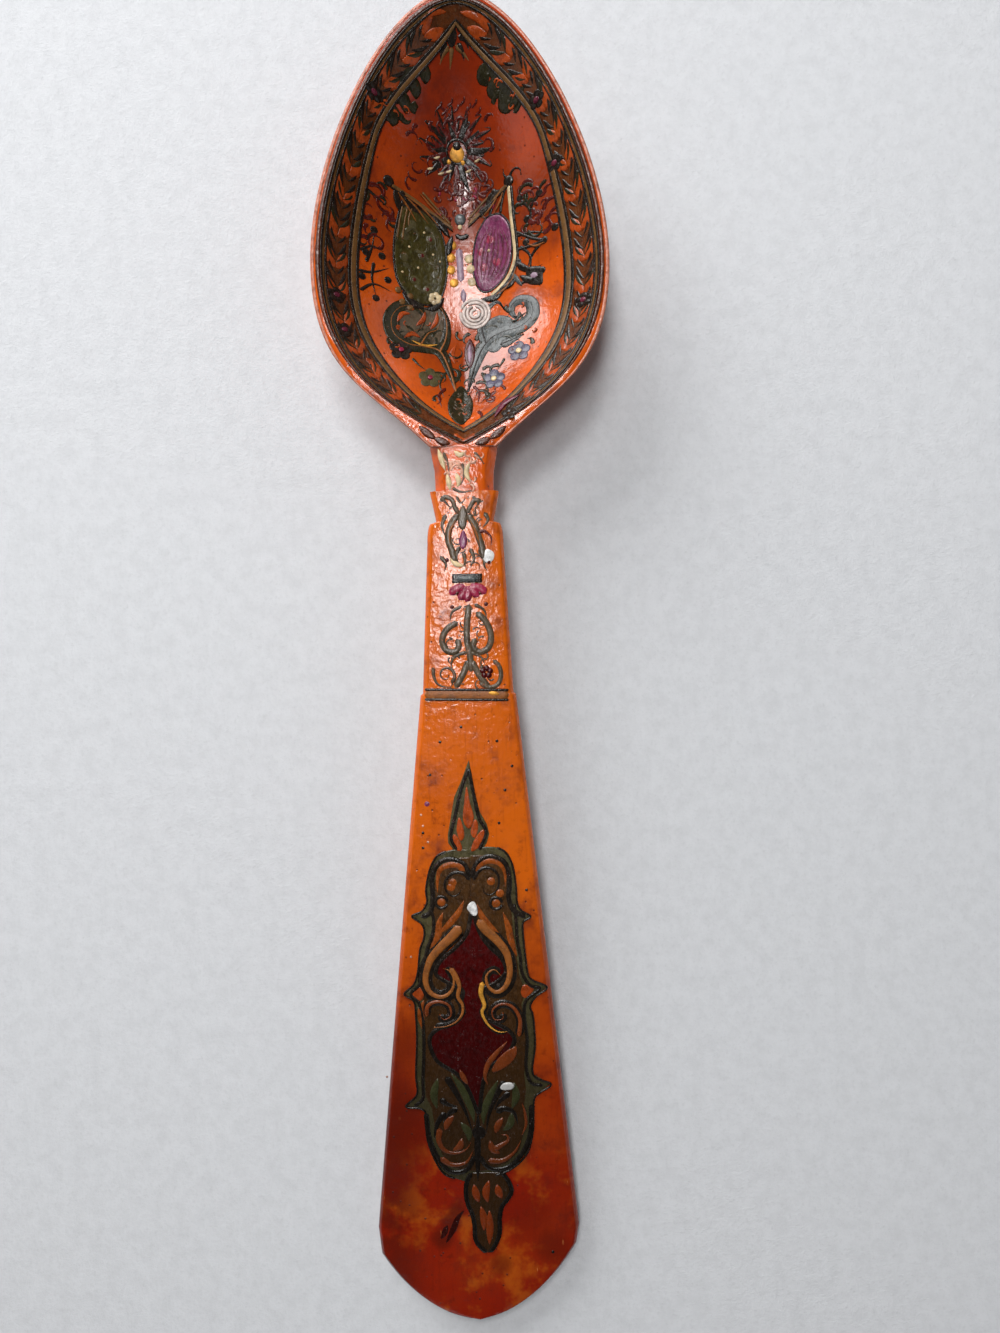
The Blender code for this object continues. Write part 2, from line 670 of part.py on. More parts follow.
def build_shank_paint():
    """The column of ornament between the collar and the gilt band."""
    top = HandleTop()
    arch = [(0.00, -0.014), (0.40, 0.050), (0.56, 0.157), (0.51, 0.257), (0.34, 0.257),
            (0.35, 0.164), (0.22, 0.107), (0.00, 0.075)]
    lay("shank_arch", flat_polygon(mirrored(placed(shank_place, arch))), top, OLIVE)
    bud = [(0.00, 0.100), (0.14, 0.146), (0.13, 0.193), (0.00, 0.236)]
    lay("arch_bud", flat_polygon(mirrored(placed(shank_place, bud))), top, PURPLE)
    bar = [(0.45, 0.296), (0.45, 0.346)]
    lay("shank_bar", flat_polygon(mirrored(placed(shank_place, bar))), top, DARK)
    rose = [(0.46, 0.364), (0.46, 0.404), (0.30, 0.429), (0.16, 0.407), (0.00, 0.436)]
    lay("shank_petals", flat_polygon(mirrored(placed(shank_place, rose))), top, ROSE)
    stem = [(0.00, 0.457), (0.08, 0.571), (0.06, 0.679), (0.13, 0.771), (0.35, 0.914)]
    lay("shank_stem", flat_polygon(mirrored(placed(shank_place, stem))), top, OLIVE)
    for name, side in (("left", -1), ("right", 1)):
        pulls = [(0.19, 0.493), (0.74, 0.543), (0.86, 0.736), (0.29, 0.750)]
        line = bezier(*placed(shank_place, pulls, side), 10)
        lay(f"{name}_c_scroll", ribbon(line, SCROLL_WIDTH), top, OLIVE)
        turns = [side * turn for turn in SHANK_CURL_TURN]
        curl = arc(shank_place(side * 0.69, 0.846), SHANK_CURL_RADIUS, *turns)
        lay(f"{name}_foot_curl", ribbon(curl, SHANK_CURL_WIDTH), top, OLIVE)


def build_gilt_band():
    """The gilt band with round ends, across the spoon where the blade begins."""
    radius = BAND_WIDTH / 2
    reach = SHANK_END_WIDTH / 2 - BAND_END_SPACE - radius
    outline = arc((reach, BLADE_Y), radius, 0.0, 180.0, 5)
    outline += arc((-reach, BLADE_Y), radius, 180.0, 360.0, 5)
    lay("gilt_band", flat_polygon(outline), HandleTop(), GILT)


def build_medallion():
    """The long medallion on the blade, with its finial and its pendant leaf."""
    top = HandleTop()
    spear = [(0.00, 0.096), (0.10, 0.125), (0.20, 0.170), (0.35, 0.204), (0.35, 0.219),
             (0.23, 0.227), (0.00, 0.230)]
    lay("spear_finial", flat_polygon(mirrored(placed(blade_place, spear))), top, OLIVE)
    edge = [(0.00, 0.246), (0.29, 0.233), (0.56, 0.244), (0.64, 0.272), (0.67, 0.311),
            (0.71, 0.331), (0.84, 0.340), (0.71, 0.357), (0.72, 0.388), (0.74, 0.439),
            (0.91, 0.456), (0.72, 0.480), (0.70, 0.519), (0.66, 0.591), (0.82, 0.622),
            (0.63, 0.643), (0.59, 0.690), (0.46, 0.736), (0.27, 0.756), (0.10, 0.746),
            (0.00, 0.724)]
    opening = [(0.00, 0.306), (0.24, 0.365), (0.53, 0.383), (0.59, 0.412), (0.54, 0.440),
               (0.55, 0.472), (0.61, 0.509), (0.60, 0.542), (0.46, 0.578), (0.23, 0.602),
               (0.09, 0.635), (0.00, 0.672)]
    frame = flat_polygon(placed(blade_place, edge + opening[::-1]))
    left = placed(blade_place, opening + edge[::-1], -1)
    frame.faces.new([frame.verts.new((x, y, 0.0)) for x, y in left])
    bmesh.ops.remove_doubles(frame, verts=frame.verts[:], dist=1e-6)
    lay("medallion_frame", frame, top, OLIVE)
    field = [(0.00, 0.319), (0.18, 0.374), (0.46, 0.394), (0.51, 0.414), (0.42, 0.441),
             (0.15, 0.447), (0.11, 0.469), (0.14, 0.493), (0.39, 0.496), (0.53, 0.513),
             (0.53, 0.539), (0.40, 0.569), (0.17, 0.592), (0.05, 0.630), (0.00, 0.657)]
    lay("medallion_field", flat_polygon(mirrored(placed(blade_place, field))), top, MAROON)
    scroll = [(0.19, 0.454), (0.34, 0.449), (0.46, 0.450), (0.49, 0.467), (0.44, 0.484),
              (0.32, 0.489), (0.19, 0.487), (0.16, 0.470)]
    lay("left_gilt_scroll", flat_polygon(placed(blade_place, scroll, -1)), top, GILT)
    lay("right_gilt_scroll", flat_polygon(placed(blade_place, scroll)), top, GILT)
    leaf = [(0.00, 0.739), (0.06, 0.761), (0.22, 0.786), (0.17, 0.811), (0.08, 0.841),
            (0.00, 0.879)]
    outline = [(across + LEAF_SHIFT, along) for across, along in mirrored(leaf)]
    lay("pendant_leaf", flat_polygon(placed(blade_place, outline)), top, OLIVE)


def main():
    """Build the whole spoon."""
    clear_scene()
    build_bowl()
    build_handle()
    build_border()
    build_sun()
    build_trophy()
    build_bowl_sprays()
    build_shank_paint()
    build_gilt_band()
    build_medallion()


main()
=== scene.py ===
"""Painted wooden spoon on the frame of its CAD model: carved wood, raised paint, gilding, varnish.

X runs across the spoon, Y towards the tip of the bowl and Z up. Shapes are worked out in
millimetres and written to the meshes in metres. Pixel places are read off the photograph,
in its 1000 x 1333 frame.
"""
import logging
import math
from dataclasses import dataclass, field
from enum import Enum
from typing import Callable, Iterable, Sequence

import bpy
import numpy as np
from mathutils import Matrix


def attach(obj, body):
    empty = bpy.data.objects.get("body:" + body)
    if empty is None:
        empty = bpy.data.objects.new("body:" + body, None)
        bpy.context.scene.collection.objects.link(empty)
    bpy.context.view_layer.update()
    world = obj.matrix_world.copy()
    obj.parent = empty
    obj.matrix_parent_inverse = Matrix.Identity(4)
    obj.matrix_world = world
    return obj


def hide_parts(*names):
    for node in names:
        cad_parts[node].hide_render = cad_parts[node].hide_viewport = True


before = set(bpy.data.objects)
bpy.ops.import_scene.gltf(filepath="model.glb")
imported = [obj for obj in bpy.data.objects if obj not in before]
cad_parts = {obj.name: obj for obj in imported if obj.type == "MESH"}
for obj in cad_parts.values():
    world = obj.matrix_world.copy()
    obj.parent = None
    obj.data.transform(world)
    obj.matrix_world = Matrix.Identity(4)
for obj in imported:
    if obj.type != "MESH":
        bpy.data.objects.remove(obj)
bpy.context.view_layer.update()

LOG = logging.getLogger("spoon")
MM = 0.001
BODY = "root"
SHARP_ANGLE = math.radians(38.0)
CURVE_STEPS = 12
SPIRAL_POINTS = 16

# Doubled points nearer than this are merged, in metres.
SEAM = 2e-7

# Thickness of a film of paint, and spacing of its points, in millimetres.
FILM = 0.16
STROKE_STEPS = (0.18, 0.4)
OUTLINE_STEP = 0.25
RING_STEP = 0.6
FIELD_STEP = 0.2
FIELD_EDGE = 0.4

Colour = tuple[float, float, float]
Pairs = tuple[tuple[float, float], ...]
Pixels = Pairs
Lines = tuple[Pixels, ...]
Box = tuple[float, float, float, float]
Triple = tuple[float, float, float]


class Tip(Enum):
    """How a brush stroke ends."""

    ROUND = "round"
    POINTED = "pointed"
    TAIL = "tail"


class Side(Enum):
    """The left or right half of the spoon, as the sign of X."""

    LEFT = -1
    RIGHT = 1


# Materials


class Socket:
    """A number in a material's nodes, on which Python's operators work."""

    def __init__(self, graph: "Graph", link: bpy.types.NodeSocket) -> None:
        """Keep the graph and the output that this stands for."""
        self.graph = graph
        self.link = link

    def _math(self, operation: str, first: "Socket | float", second: "Socket | float") -> "Socket":
        """Add one Math node and return its result."""
        return self.graph.node("ShaderNodeMath", {"operation": operation}, {0: first, 1: second})

    def __add__(self, other: "Socket | float") -> "Socket":
        """Sum."""
        return self._math("ADD", self, other)

    __radd__ = __add__

    def __sub__(self, other: "Socket | float") -> "Socket":
        """Difference."""
        return self._math("SUBTRACT", self, other)

    def __rsub__(self, other: float) -> "Socket":
        """Difference from a plain number."""
        return self._math("SUBTRACT", other, self)

    def __mul__(self, other: "Socket | float") -> "Socket":
        """Product."""
        return self._math("MULTIPLY", self, other)

    __rmul__ = __mul__


class Graph:
    """The nodes of one material, built from its Principled shader backwards."""

    def __init__(self, name: str) -> None:
        """Make the material and find its shader.

        Args:
            name: the material's name.
        """
        self.material = bpy.data.materials.new(name)
        self.material.use_nodes = True
        self.tree = self.material.node_tree
        self.shader = self.tree.nodes["Principled BSDF"]
        place = self.node("ShaderNodeTexCoord", {}, {}, "Object")
        self.place = self.node("ShaderNodeVectorMath", {"operation": "SCALE"},
                               {0: place, "Scale": 1 / MM})

    def node(self, kind: str, settings: dict, inputs: dict, output: int | str = 0) -> Socket:
        """Add a node.

        Args:
            kind: the node's type.
            settings: its properties, set first; "stops" gives a colour ramp its stops.
            inputs: values or links by socket name or number.
            output: the output that is returned.

        Returns:
            That output, wrapped.
        """
        made = self.tree.nodes.new(kind)
        for key, value in settings.items():
            if key == "stops":
                ramp = made.color_ramp
                while len(ramp.elements) < len(value):
                    ramp.elements.new(1.0)
                for element, (position, colour) in zip(ramp.elements, value):
                    element.position = position
                    element.color = (*colour, 1.0)
            else:
                setattr(made, key, value)
        for key, value in inputs.items():
            if isinstance(value, Socket):
                self.tree.links.new(value.link, made.inputs[key])
            else:
                made.inputs[key].default_value = value
        return Socket(self, made.outputs[output])

    def stretched(self, scale: Triple) -> Socket:
        """The place on the piece in millimetres, with each axis scaled."""
        return self.node("ShaderNodeVectorMath", {"operation": "MULTIPLY"},
                         {0: self.place, 1: scale})

    def noise(self, scale: float, detail: float = 3.0, roughness: float = 0.55,
              stretch: Triple = (1.0, 1.0, 1.0), seed: float = 0.0) -> Socket:
        """Cloudy noise from 0 to 1, with scale in lumps to the millimetre."""
        return self.node("ShaderNodeTexNoise", {"noise_dimensions": "4D"},
                         {"Vector": self.stretched(stretch), "W": seed, "Scale": scale,
                          "Detail": detail, "Roughness": roughness})

    def spots(self, scale: float, size: float) -> Socket:
        """Round spots.

        Args:
            scale: cells to the millimetre.
            size: radius of a spot as a share of its cell.

        Returns:
            1 inside a spot and 0 outside.
        """
        distance = self.node("ShaderNodeTexVoronoi", {}, {"Vector": self.place, "Scale": scale},
                             "Distance")
        return self.span(distance, size, size * 0.5)

    def span(self, value: Socket, low: float, high: float) -> Socket:
        """A number that goes smoothly from 0 at low to 1 at high."""
        return self.node("ShaderNodeMapRange", {"interpolation_type": "SMOOTHSTEP"},
                         {"Value": value, "From Min": low, "From Max": high})

    def axis(self, name: str) -> Socket:
        """One coordinate of the place on the piece, in millimetres."""
        return self.node("ShaderNodeSeparateXYZ", {}, {0: self.place}, name)

    def mix(self, first: "Socket | Colour", second: "Socket | Colour",
            share: "Socket | float") -> Socket:
        """Mix two colours, with share saying how much there is of the second."""
        pair = [(*c, 1.0) if isinstance(c, tuple) else c for c in (first, second)]
        return self.node("ShaderNodeMix", {"data_type": "RGBA"},
                         {0: share, 6: pair[0], 7: pair[1]}, 2)

    def finish(self, colour: Socket, roughness: "Socket | float", height: Socket,
               depth: float, gloss: float, metallic: "Socket | float" = 0.0) -> bpy.types.Material:
        """Plug the shader in.

        Args:
            colour: the base colour.
            roughness: the roughness.
            height: the relief, as a number.
            depth: millimetres that a step of 1 in the relief stands out.
            gloss: the specular level of the varnished surface.
            metallic: the metallic value.

        Returns:
            The material.
        """
        bump = self.node("ShaderNodeBump", {}, {"Height": height, "Distance": depth * MM,
                                                "Strength": 1.0}, "Normal")
        for key, value in (("Base Color", colour), ("Roughness", roughness), ("Normal", bump),
                           ("Metallic", metallic)):
            if isinstance(value, Socket):
                self.tree.links.new(value.link, self.shader.inputs[key])
            else:
                self.shader.inputs[key].default_value = value
        self.shader.inputs["Specular IOR Level"].default_value = gloss
        return self.material


@dataclass(frozen=True)
class Finish:
    """A finish by its name and main colour; each kind builds its own nodes."""

    name: str
    colour: Colour

    def nodes(self, graph: Graph) -> bpy.types.Material:
        """Build the nodes of this kind of finish."""
        raise NotImplementedError

    def material(self) -> bpy.types.Material:
        """The material, made at its first use."""
        return bpy.data.materials.get(self.name) or self.nodes(Graph(self.name))


RUBBED = (0.44, 0.10, 0.005)
SOOT = (0.035, 0.006, 0.003)
SCRATCH = (0.75, 0.28, 0.08)
GLINT = (0.95, 0.62, 0.18)


@dataclass(frozen=True)
class Lacquer(Finish):
    """Tinted lacquer over wood, which darkens along the spoon and where hands wear it.

    far is the colour at Y = far_y, and colour the one at Y = near_y, in millimetres. The darkening
    towards far is partly age and partly painted shade. Each smudge, a dark cloud, is its X and Y,
    its reach in millimetres and its share of darkness. Each zone, such as rubbed_y, goes from where
    its wear begins to where it is full.
    """

    far: Colour
    near_y: float
    far_y: float
    edge: Colour
    smudges: tuple[tuple[float, float, float, float], ...] = ()
    rubbed_y: tuple[float, float] = (-66.0, -88.0)
    stained_x: tuple[float, float] = (-7.0, -14.0)
    stained_y: tuple[float, float] = (-52.0, -72.0)
    crust_start_y: tuple[float, float] = (-10.0, 4.0)
    crust_end_y: tuple[float, float] = (56.0, 44.0)

    def nodes(self, graph: Graph) -> bpy.types.Material:
        """Grain, clouds, blotches, specks and scratches under a bumpy varnish.

        Args:
            graph: the nodes of the new material.

        Returns:
            The material.
        """
        x, y = graph.axis("X"), graph.axis("Y")
        # Darkening towards far_y is partly age and partly painted shade: on the bowl's tip wall, and
        # where the light falls off towards the handle's end.
        along = graph.span(y, self.near_y, self.far_y)
        clouds = graph.noise(0.16, detail=4.0, roughness=0.6)
        patches = graph.noise(0.045, detail=3.0, roughness=0.5, seed=3.0)
        mottle = graph.noise(0.55, detail=4.0, roughness=0.7, seed=11.0)
        grain = graph.noise(1.3, detail=3.0, roughness=0.6, stretch=(1.6, 0.07, 1.6), seed=1.0)
        tone = graph.span(along + 0.9 * (patches - 0.5), 0.0, 1.0)
        colour = graph.mix(self.colour, self.far, tone)
        for share, pattern, low, high in ((0.75, clouds, 0.50, 0.74), (0.55, mottle, 0.52, 0.75),
                                          (0.30, grain, 0.50, 0.80)):
            colour = graph.mix(colour, self.edge, share * graph.span(pattern, low, high))
        light = tuple(min(1.0, 1.15 * c + 0.008) for c in self.colour)
        colour = graph.mix(colour, light, 0.35 * (1.0 - along) * graph.span(clouds, 0.45, 0.25))
        rubbed = graph.span(graph.noise(0.16, detail=4.0, roughness=0.6, seed=15.0), 0.50, 0.68)
        colour = graph.mix(colour, RUBBED, 0.5 * rubbed * graph.span(y, *self.rubbed_y))
        stained = graph.span(x, *self.stained_x) * graph.span(y, *self.stained_y)
        colour = graph.mix(colour, self.edge, 0.8 * stained * graph.span(clouds, 0.3, 0.5))
        for middle_x, middle_y, reach, share in self.smudges:
            across = (1.0 / reach) * (x - middle_x)
            down = (1.0 / reach) * (y - middle_y)
            near = graph.span(across * across + down * down + 0.9 * (mottle - 0.5), 1.3, -0.1)
            colour = graph.mix(colour, self.edge, share * near)
        specks = graph.spots(0.55, size=0.13) * graph.span(graph.noise(0.3, seed=7.0), 0.42, 0.5)
        colour = graph.mix(colour, SOOT, 0.8 * specks)
        worn = graph.noise(2.2, detail=2.0, roughness=0.7, stretch=(1.0, 0.12, 1.0), seed=9.0)
        scratch = graph.span(worn, 0.70, 0.78)
        colour = graph.mix(colour, SCRATCH, 0.25 * scratch)
        roughness = 0.13 + 0.16 * graph.span(clouds, 0.3, 0.8) + 0.1 * scratch
        crusted = graph.span(y, *self.crust_start_y) * graph.span(y, *self.crust_end_y)
        waves = graph.noise(0.9, detail=3.0, roughness=0.5, seed=5.0)
        height = (0.8 + 0.8 * crusted) * waves + 0.35 * patches + 0.2 * grain
        return graph.finish(colour, roughness, height - 0.25 * specks, depth=0.10, gloss=0.6)


@dataclass(frozen=True)
class Paint(Finish):
    """Thick old paint, mottled and worn through in places to the ground under it."""

    ground: Colour
    fleck: Colour
    wear: float = 0.5

    def nodes(self, graph: Graph) -> bpy.types.Material:
        """Brush marks, mottling, flecks and worn places.

        Args:
            graph: the nodes of the new material.

        Returns:
            The material.
        """
        cloud = graph.noise(0.8, detail=4.0, roughness=0.65)
        brush = graph.noise(2.6, detail=2.0, roughness=0.6, stretch=(1.0, 0.5, 1.0), seed=2.0)
        dark = tuple(0.45 * c for c in self.colour)
        colour = graph.mix(self.colour, dark, graph.span(cloud, 0.40, 0.70))
        colour = graph.mix(colour, self.fleck, 0.6 * graph.span(brush, 0.58, 0.74))
        worn = graph.span(graph.noise(1.1, detail=5.0, roughness=0.7, seed=4.0), 0.58, 0.70)
        colour = graph.mix(colour, self.ground, self.wear * worn)
        # Darker towards the blade's end: partly handling, partly painted shade where the light falls
        # off.
        shade_and_handling = graph.span(graph.axis("Y"), -30.0, -80.0)
        colour = graph.mix(colour, tuple(0.3 * c for c in self.colour), 0.88 * shade_and_handling)
        roughness = 0.18 + 0.16 * graph.span(brush, 0.3, 0.7)
        height = 0.7 * brush + 0.5 * cloud - 0.3 * worn
        return graph.finish(colour, roughness, height, depth=0.09, gloss=0.38)


@dataclass(frozen=True)
class Gilding(Finish):
    """Gold powder in varnish, rubbed dull, with its ground showing."""

    ground: Colour
    metal: float = 0.35

    def nodes(self, graph: Graph) -> bpy.types.Material:
        """Grainy gold, browner where it is rubbed.

        Args:
            graph: the nodes of the new material.

        Returns:
            The material.
        """
        cloud = graph.noise(0.9, detail=4.0, roughness=0.65)
        grain = graph.noise(5.0, detail=2.0, roughness=0.6, seed=2.0)
        brown = tuple(0.5 * c for c in self.colour)
        colour = graph.mix(self.colour, brown, graph.span(cloud, 0.42, 0.72))
        rubbed = graph.span(graph.noise(1.5, detail=4.0, roughness=0.7, seed=6.0), 0.57, 0.68)
        colour = graph.mix(colour, self.ground, 0.75 * rubbed)
        colour = graph.mix(colour, GLINT, 0.35 * graph.span(grain, 0.6, 0.75))
        roughness = 0.30 + 0.25 * graph.span(grain, 0.3, 0.7)
        height = 0.6 * cloud + 0.4 * grain
        return graph.finish(colour, roughness, height, depth=0.08, gloss=0.4,
                            metallic=self.metal * (1.0 - rubbed))


@dataclass(frozen=True)
class Cloth(Finish):
    """The pale floor: plain, with the faint mottling of a felted surface."""

    def nodes(self, graph: Graph) -> bpy.types.Material:
        """Faint mottling and a soft nap.

        Args:
            graph: the nodes of the new material.

        Returns:
            The material.
        """
        cloud = graph.noise(0.35, detail=4.0, roughness=0.7)
        nap = graph.noise(1.4, detail=4.0, roughness=0.8, seed=2.0)
        darker = tuple(0.92 * c for c in self.colour)
        colour = graph.mix(self.colour, darker, graph.span(cloud, 0.35, 0.7))
        colour = graph.mix(colour, tuple(0.80 * c for c in self.colour),
                           0.5 * graph.span(nap, 0.5, 0.72))
        return graph.finish(colour, 0.95, nap, depth=0.12, gloss=0.0)


FAR_OLIVE = (0.080, 0.062, 0.026)
GROUND = (0.32, 0.042, 0.006)
OLIVE = Paint("olive_oil_paint", (0.074, 0.062, 0.026), GROUND, FAR_OLIVE, 0.15)
MOSS = Paint("moss_paint", (0.060, 0.064, 0.022), (0.05, 0.02, 0.006), FAR_OLIVE, 0.5)
RUST = Paint("rust_paint", (0.24, 0.050, 0.010), (0.05, 0.014, 0.004), (0.34, 0.10, 0.03), 0.5)
# White for painted highlights: glints on the raised varnish.
HIGHLIGHT_WHITE = Paint("highlight_white_paint", (0.85, 0.84, 0.82), (0.6, 0.5, 0.45), (0.9, 0.9, 0.9), 0.2)
BORDER_OLIVE = Paint("border_oil_paint", (0.100, 0.027, 0.006), (0.19, 0.026, 0.004),
                     (0.11, 0.055, 0.015), 0.75)
WORN_OLIVE = Paint("worn_olive_paint", (0.095, 0.066, 0.040), (0.36, 0.085, 0.025), FAR_OLIVE,
                   0.85)
RIM_BROWN = Paint("rim_brown_paint", (0.085, 0.020, 0.007), (0.16, 0.03, 0.01),
                  (0.09, 0.03, 0.012), 0.7)
# Pale pink of the rim's outer edge: worn paint, and partly a painted highlight.
WORN_HIGHLIT = Paint("worn_highlit_rim_paint", (0.52, 0.19, 0.12), (0.42, 0.075, 0.012), (0.62, 0.34, 0.24), 0.5)
SHADE_OLIVE = Paint("shade_olive_paint", (0.020, 0.017, 0.006), (0.10, 0.016, 0.004),
                    (0.045, 0.035, 0.012), 0.4)
DARK = Paint("dark_line_paint", (0.014, 0.009, 0.006), (0.12, 0.02, 0.006), (0.05, 0.03, 0.015), 0.35)
MAROON = Paint("maroon_glaze", (0.060, 0.0006, 0.0005), (0.08, 0.002, 0.001),
               (0.03, 0.001, 0.001), 0.4)
STAIN = Paint("worn_stain", (0.060, 0.004, 0.002), (0.17, 0.014, 0.002), (0.11, 0.012, 0.003), 1.0)
UMBER = Paint("umber_ground_paint", (0.058, 0.024, 0.006), (0.12, 0.030, 0.005),
              (0.11, 0.048, 0.012), 0.4)
AMBER = Paint("amber_paint", (0.26, 0.058, 0.007), (0.09, 0.018, 0.003),
              (0.42, 0.11, 0.015), 0.45)
CRIMSON = Paint("crimson_paint", (0.085, 0.007, 0.004), (0.05, 0.006, 0.004), (0.22, 0.03, 0.015), 0.4)
ROSE = Paint("rose_oil_paint", (0.30, 0.018, 0.055), GROUND, (0.45, 0.10, 0.14), 0.35)
FLAME = Paint("flame_paint", (0.36, 0.055, 0.007), (0.07, 0.012, 0.003), (0.33, 0.07, 0.012), 0.7)
GREEN = Paint("leaf_green_paint", (0.046, 0.036, 0.007), GROUND, (0.10, 0.11, 0.04), 0.25)
PLUM = Paint("plum_paint", (0.13, 0.015, 0.035), GROUND, (0.22, 0.05, 0.08), 0.4)
PURPLE = Paint("purple_oil_paint", (0.200, 0.034, 0.100), (0.30, 0.03, 0.05), (0.32, 0.10, 0.20), 0.3)
BLUSH = Paint("blush_paint", (0.60, 0.30, 0.20), (0.42, 0.09, 0.02), (0.72, 0.55, 0.42), 0.5)
PEARL = Paint("pearl_paint", (0.60, 0.50, 0.45), (0.30, 0.12, 0.06), (0.72, 0.66, 0.60), 0.5)
SLATE = Paint("slate_paint", (0.085, 0.078, 0.120), GROUND, (0.20, 0.19, 0.26), 0.3)
CREAM = Paint("cream_oil_paint", (0.66, 0.50, 0.28), GROUND, (0.62, 0.56, 0.42), 0.35)
GREY = Paint("steel_grey_paint", (0.075, 0.085, 0.085), GROUND, (0.30, 0.30, 0.28), 0.25)
LAVENDER = Paint("lavender_paint", (0.30, 0.20, 0.26), GROUND, (0.45, 0.36, 0.40), 0.35)
GOLD = Gilding("shell_gold", (0.66, 0.30, 0.035), GROUND)
OCHRE = Gilding("rubbed_ochre_gold", (0.25, 0.075, 0.010), (0.09, 0.018, 0.003), 0.05)
DULL_GOLD = Gilding("dull_line_gold", (0.15, 0.068, 0.016), (0.05, 0.02, 0.006), 0.1)


# Shapes of the wood


def bezier(start: tuple, start_pull: tuple, end_pull: tuple, end: tuple,
           steps: int = 48) -> np.ndarray:
    """Points of a cubic curve in the plan.

    Args:
        start: first point.
        start_pull: handle of the first point.
        end_pull: handle of the last point.
        end: last point.
        steps: spans between points.

    Returns:
        Points, one to a row, both ends included.
    """
    t = np.linspace(0.0, 1.0, steps + 1)[:, None]
    near = (1 - t) ** 3 * np.array(start) + 3 * (1 - t) ** 2 * t * np.array(start_pull)
    return near + 3 * (1 - t) * t ** 2 * np.array(end_pull) + t ** 3 * np.array(end)


class Surface:
    """A carved face, as a height over the plan in millimetres."""

    def height(self, x: np.ndarray, y: np.ndarray) -> np.ndarray:
        """Height of the face over the table."""
        raise NotImplementedError

    def lifted(self, plan: np.ndarray, off: np.ndarray) -> np.ndarray:
        """Points above the face.

        Args:
            plan: X and Y of each point, on the last axis.
            off: distance from the face along its normal.

        Returns:
            X, Y and Z of each point, on the last axis.
        """
        x, y = plan[..., 0], plan[..., 1]
        step = 0.05
        slope_x = (self.height(x + step, y) - self.height(x - step, y)) / (2 * step)
        slope_y = (self.height(x, y + step) - self.height(x, y - step)) / (2 * step)
        normal = np.stack([-slope_x, -slope_y, np.ones_like(x)], axis=-1)
        normal /= np.linalg.norm(normal, axis=-1, keepdims=True)
        return np.stack([x, y, self.height(x, y)], axis=-1) + normal * np.asarray(off)[..., None]


@dataclass(frozen=True)
class BowlShape(Surface):
    """Outline and hollow of the bowl."""

    tip_y: float = 110.0
    root_y: float = 38.2
    widest_y: float = 67.5
    half_width: float = 24.0
    tip_rounding: float = 10.9
    upper_side_run: float = 17.5
    lower_side_run: float = 17.4
    root_half_width: float = 5.5
    root_pull: float = 9.758
    wall: float = 1.6
    floor: float = 2.4
    foot_share: float = 10.0 / 48.0
    tip_rim_height: float = 17.0
    root_rim_height: float = 14.0
    hollow_tip_rounding: float = 9.9
    hollow_lower_run: float = 16.4
    hollow_root_step: float = 0.5
    hollow_root_reach: float = 11.4
    hollow_root_rise: float = 5.4
    steepness: float = 2.4
    outside_steepness: float = 2.0
    taper: int = 8

    def outer(self) -> np.ndarray:
        """The right half of the outline, from the tip to the neck.

        Returns:
            Points in the plan, one to a row.
        """
        root = (self.root_half_width, self.root_y)
        pull = (root[0] + self.root_pull, root[1] + self.root_pull)
        wide = (self.half_width, self.widest_y)
        upper = bezier((0.0, self.tip_y), (self.tip_rounding, self.tip_y),
                       (wide[0], wide[1] + self.upper_side_run), wide)
        lower = bezier(wide, (wide[0], wide[1] - self.lower_side_run), pull, root)
        return np.vstack([upper, lower[1:]])

    def hollow(self) -> np.ndarray:
        """The right half of the hollow's edge, from the tip to the neck.

        Returns:
            Points in the plan, one to a row.
        """
        tip = (0.0, self.tip_y - self.wall)
        root = (0.0, self.root_y + self.hollow_root_step)
        wide = (self.half_width - self.wall, self.widest_y)
        upper = bezier(tip, (self.hollow_tip_rounding, tip[1]),
                       (wide[0], wide[1] + self.upper_side_run), wide)
        lower = bezier(wide, (wide[0], wide[1] - self.hollow_lower_run),
                       (self.hollow_root_reach, root[1] + self.hollow_root_rise), root)
        return np.vstack([upper, lower[1:]])

    def rim_height(self, y: np.ndarray) -> np.ndarray:
        """Height of the rim over the table."""
        share = (y - self.root_y) / (self.tip_y - self.root_y)
        return self.root_rim_height + share * (self.tip_rim_height - self.root_rim_height)

    def height(self, x: np.ndarray, y: np.ndarray) -> np.ndarray:
        """Height of the hollow over the table.

        Args:
            x: places across.
            y: places along.

        Returns:
            The heights.
        """
        edge = self.hollow()
        turns = np.arctan2(edge[:, 0], edge[:, 1] - self.widest_y)
        reaches = np.hypot(edge[:, 0], edge[:, 1] - self.widest_y)
        turn = np.arctan2(np.abs(x), y - self.widest_y)
        reach = np.interp(turn, turns, reaches)
        share = np.hypot(x, y - self.widest_y) / reach
        rim = self.rim_height(self.widest_y + reach * np.cos(turn))
        return self.floor + (rim - self.floor) * share ** self.steepness

    def inset(self, line: np.ndarray, distance: float, end_distance: float) -> np.ndarray:
        """A line drawn in towards the bowl's middle.

        Args:
            line: points of the hollow's edge.
            distance: how far in at the sides.
            end_distance: how far in at the tip and the neck.

        Returns:
            The moved points.
        """
        middle = np.array([0.0, self.widest_y])
        arm = line - middle
        reach = np.linalg.norm(arm, axis=1)
        lengthwise = (arm[:, 1] / reach) ** self.taper
        inward = distance + lengthwise * (end_distance - distance)
        return middle + arm * ((reach - inward) / reach)[:, None]


@dataclass(frozen=True)
class RimTop(Surface):
    """The flat top of the bowl's rim."""

    bowl: BowlShape = BowlShape()

    def height(self, x: np.ndarray, y: np.ndarray) -> np.ndarray:
        """Height of the rim over the table."""
        return self.bowl.rim_height(y) + 0.0 * x


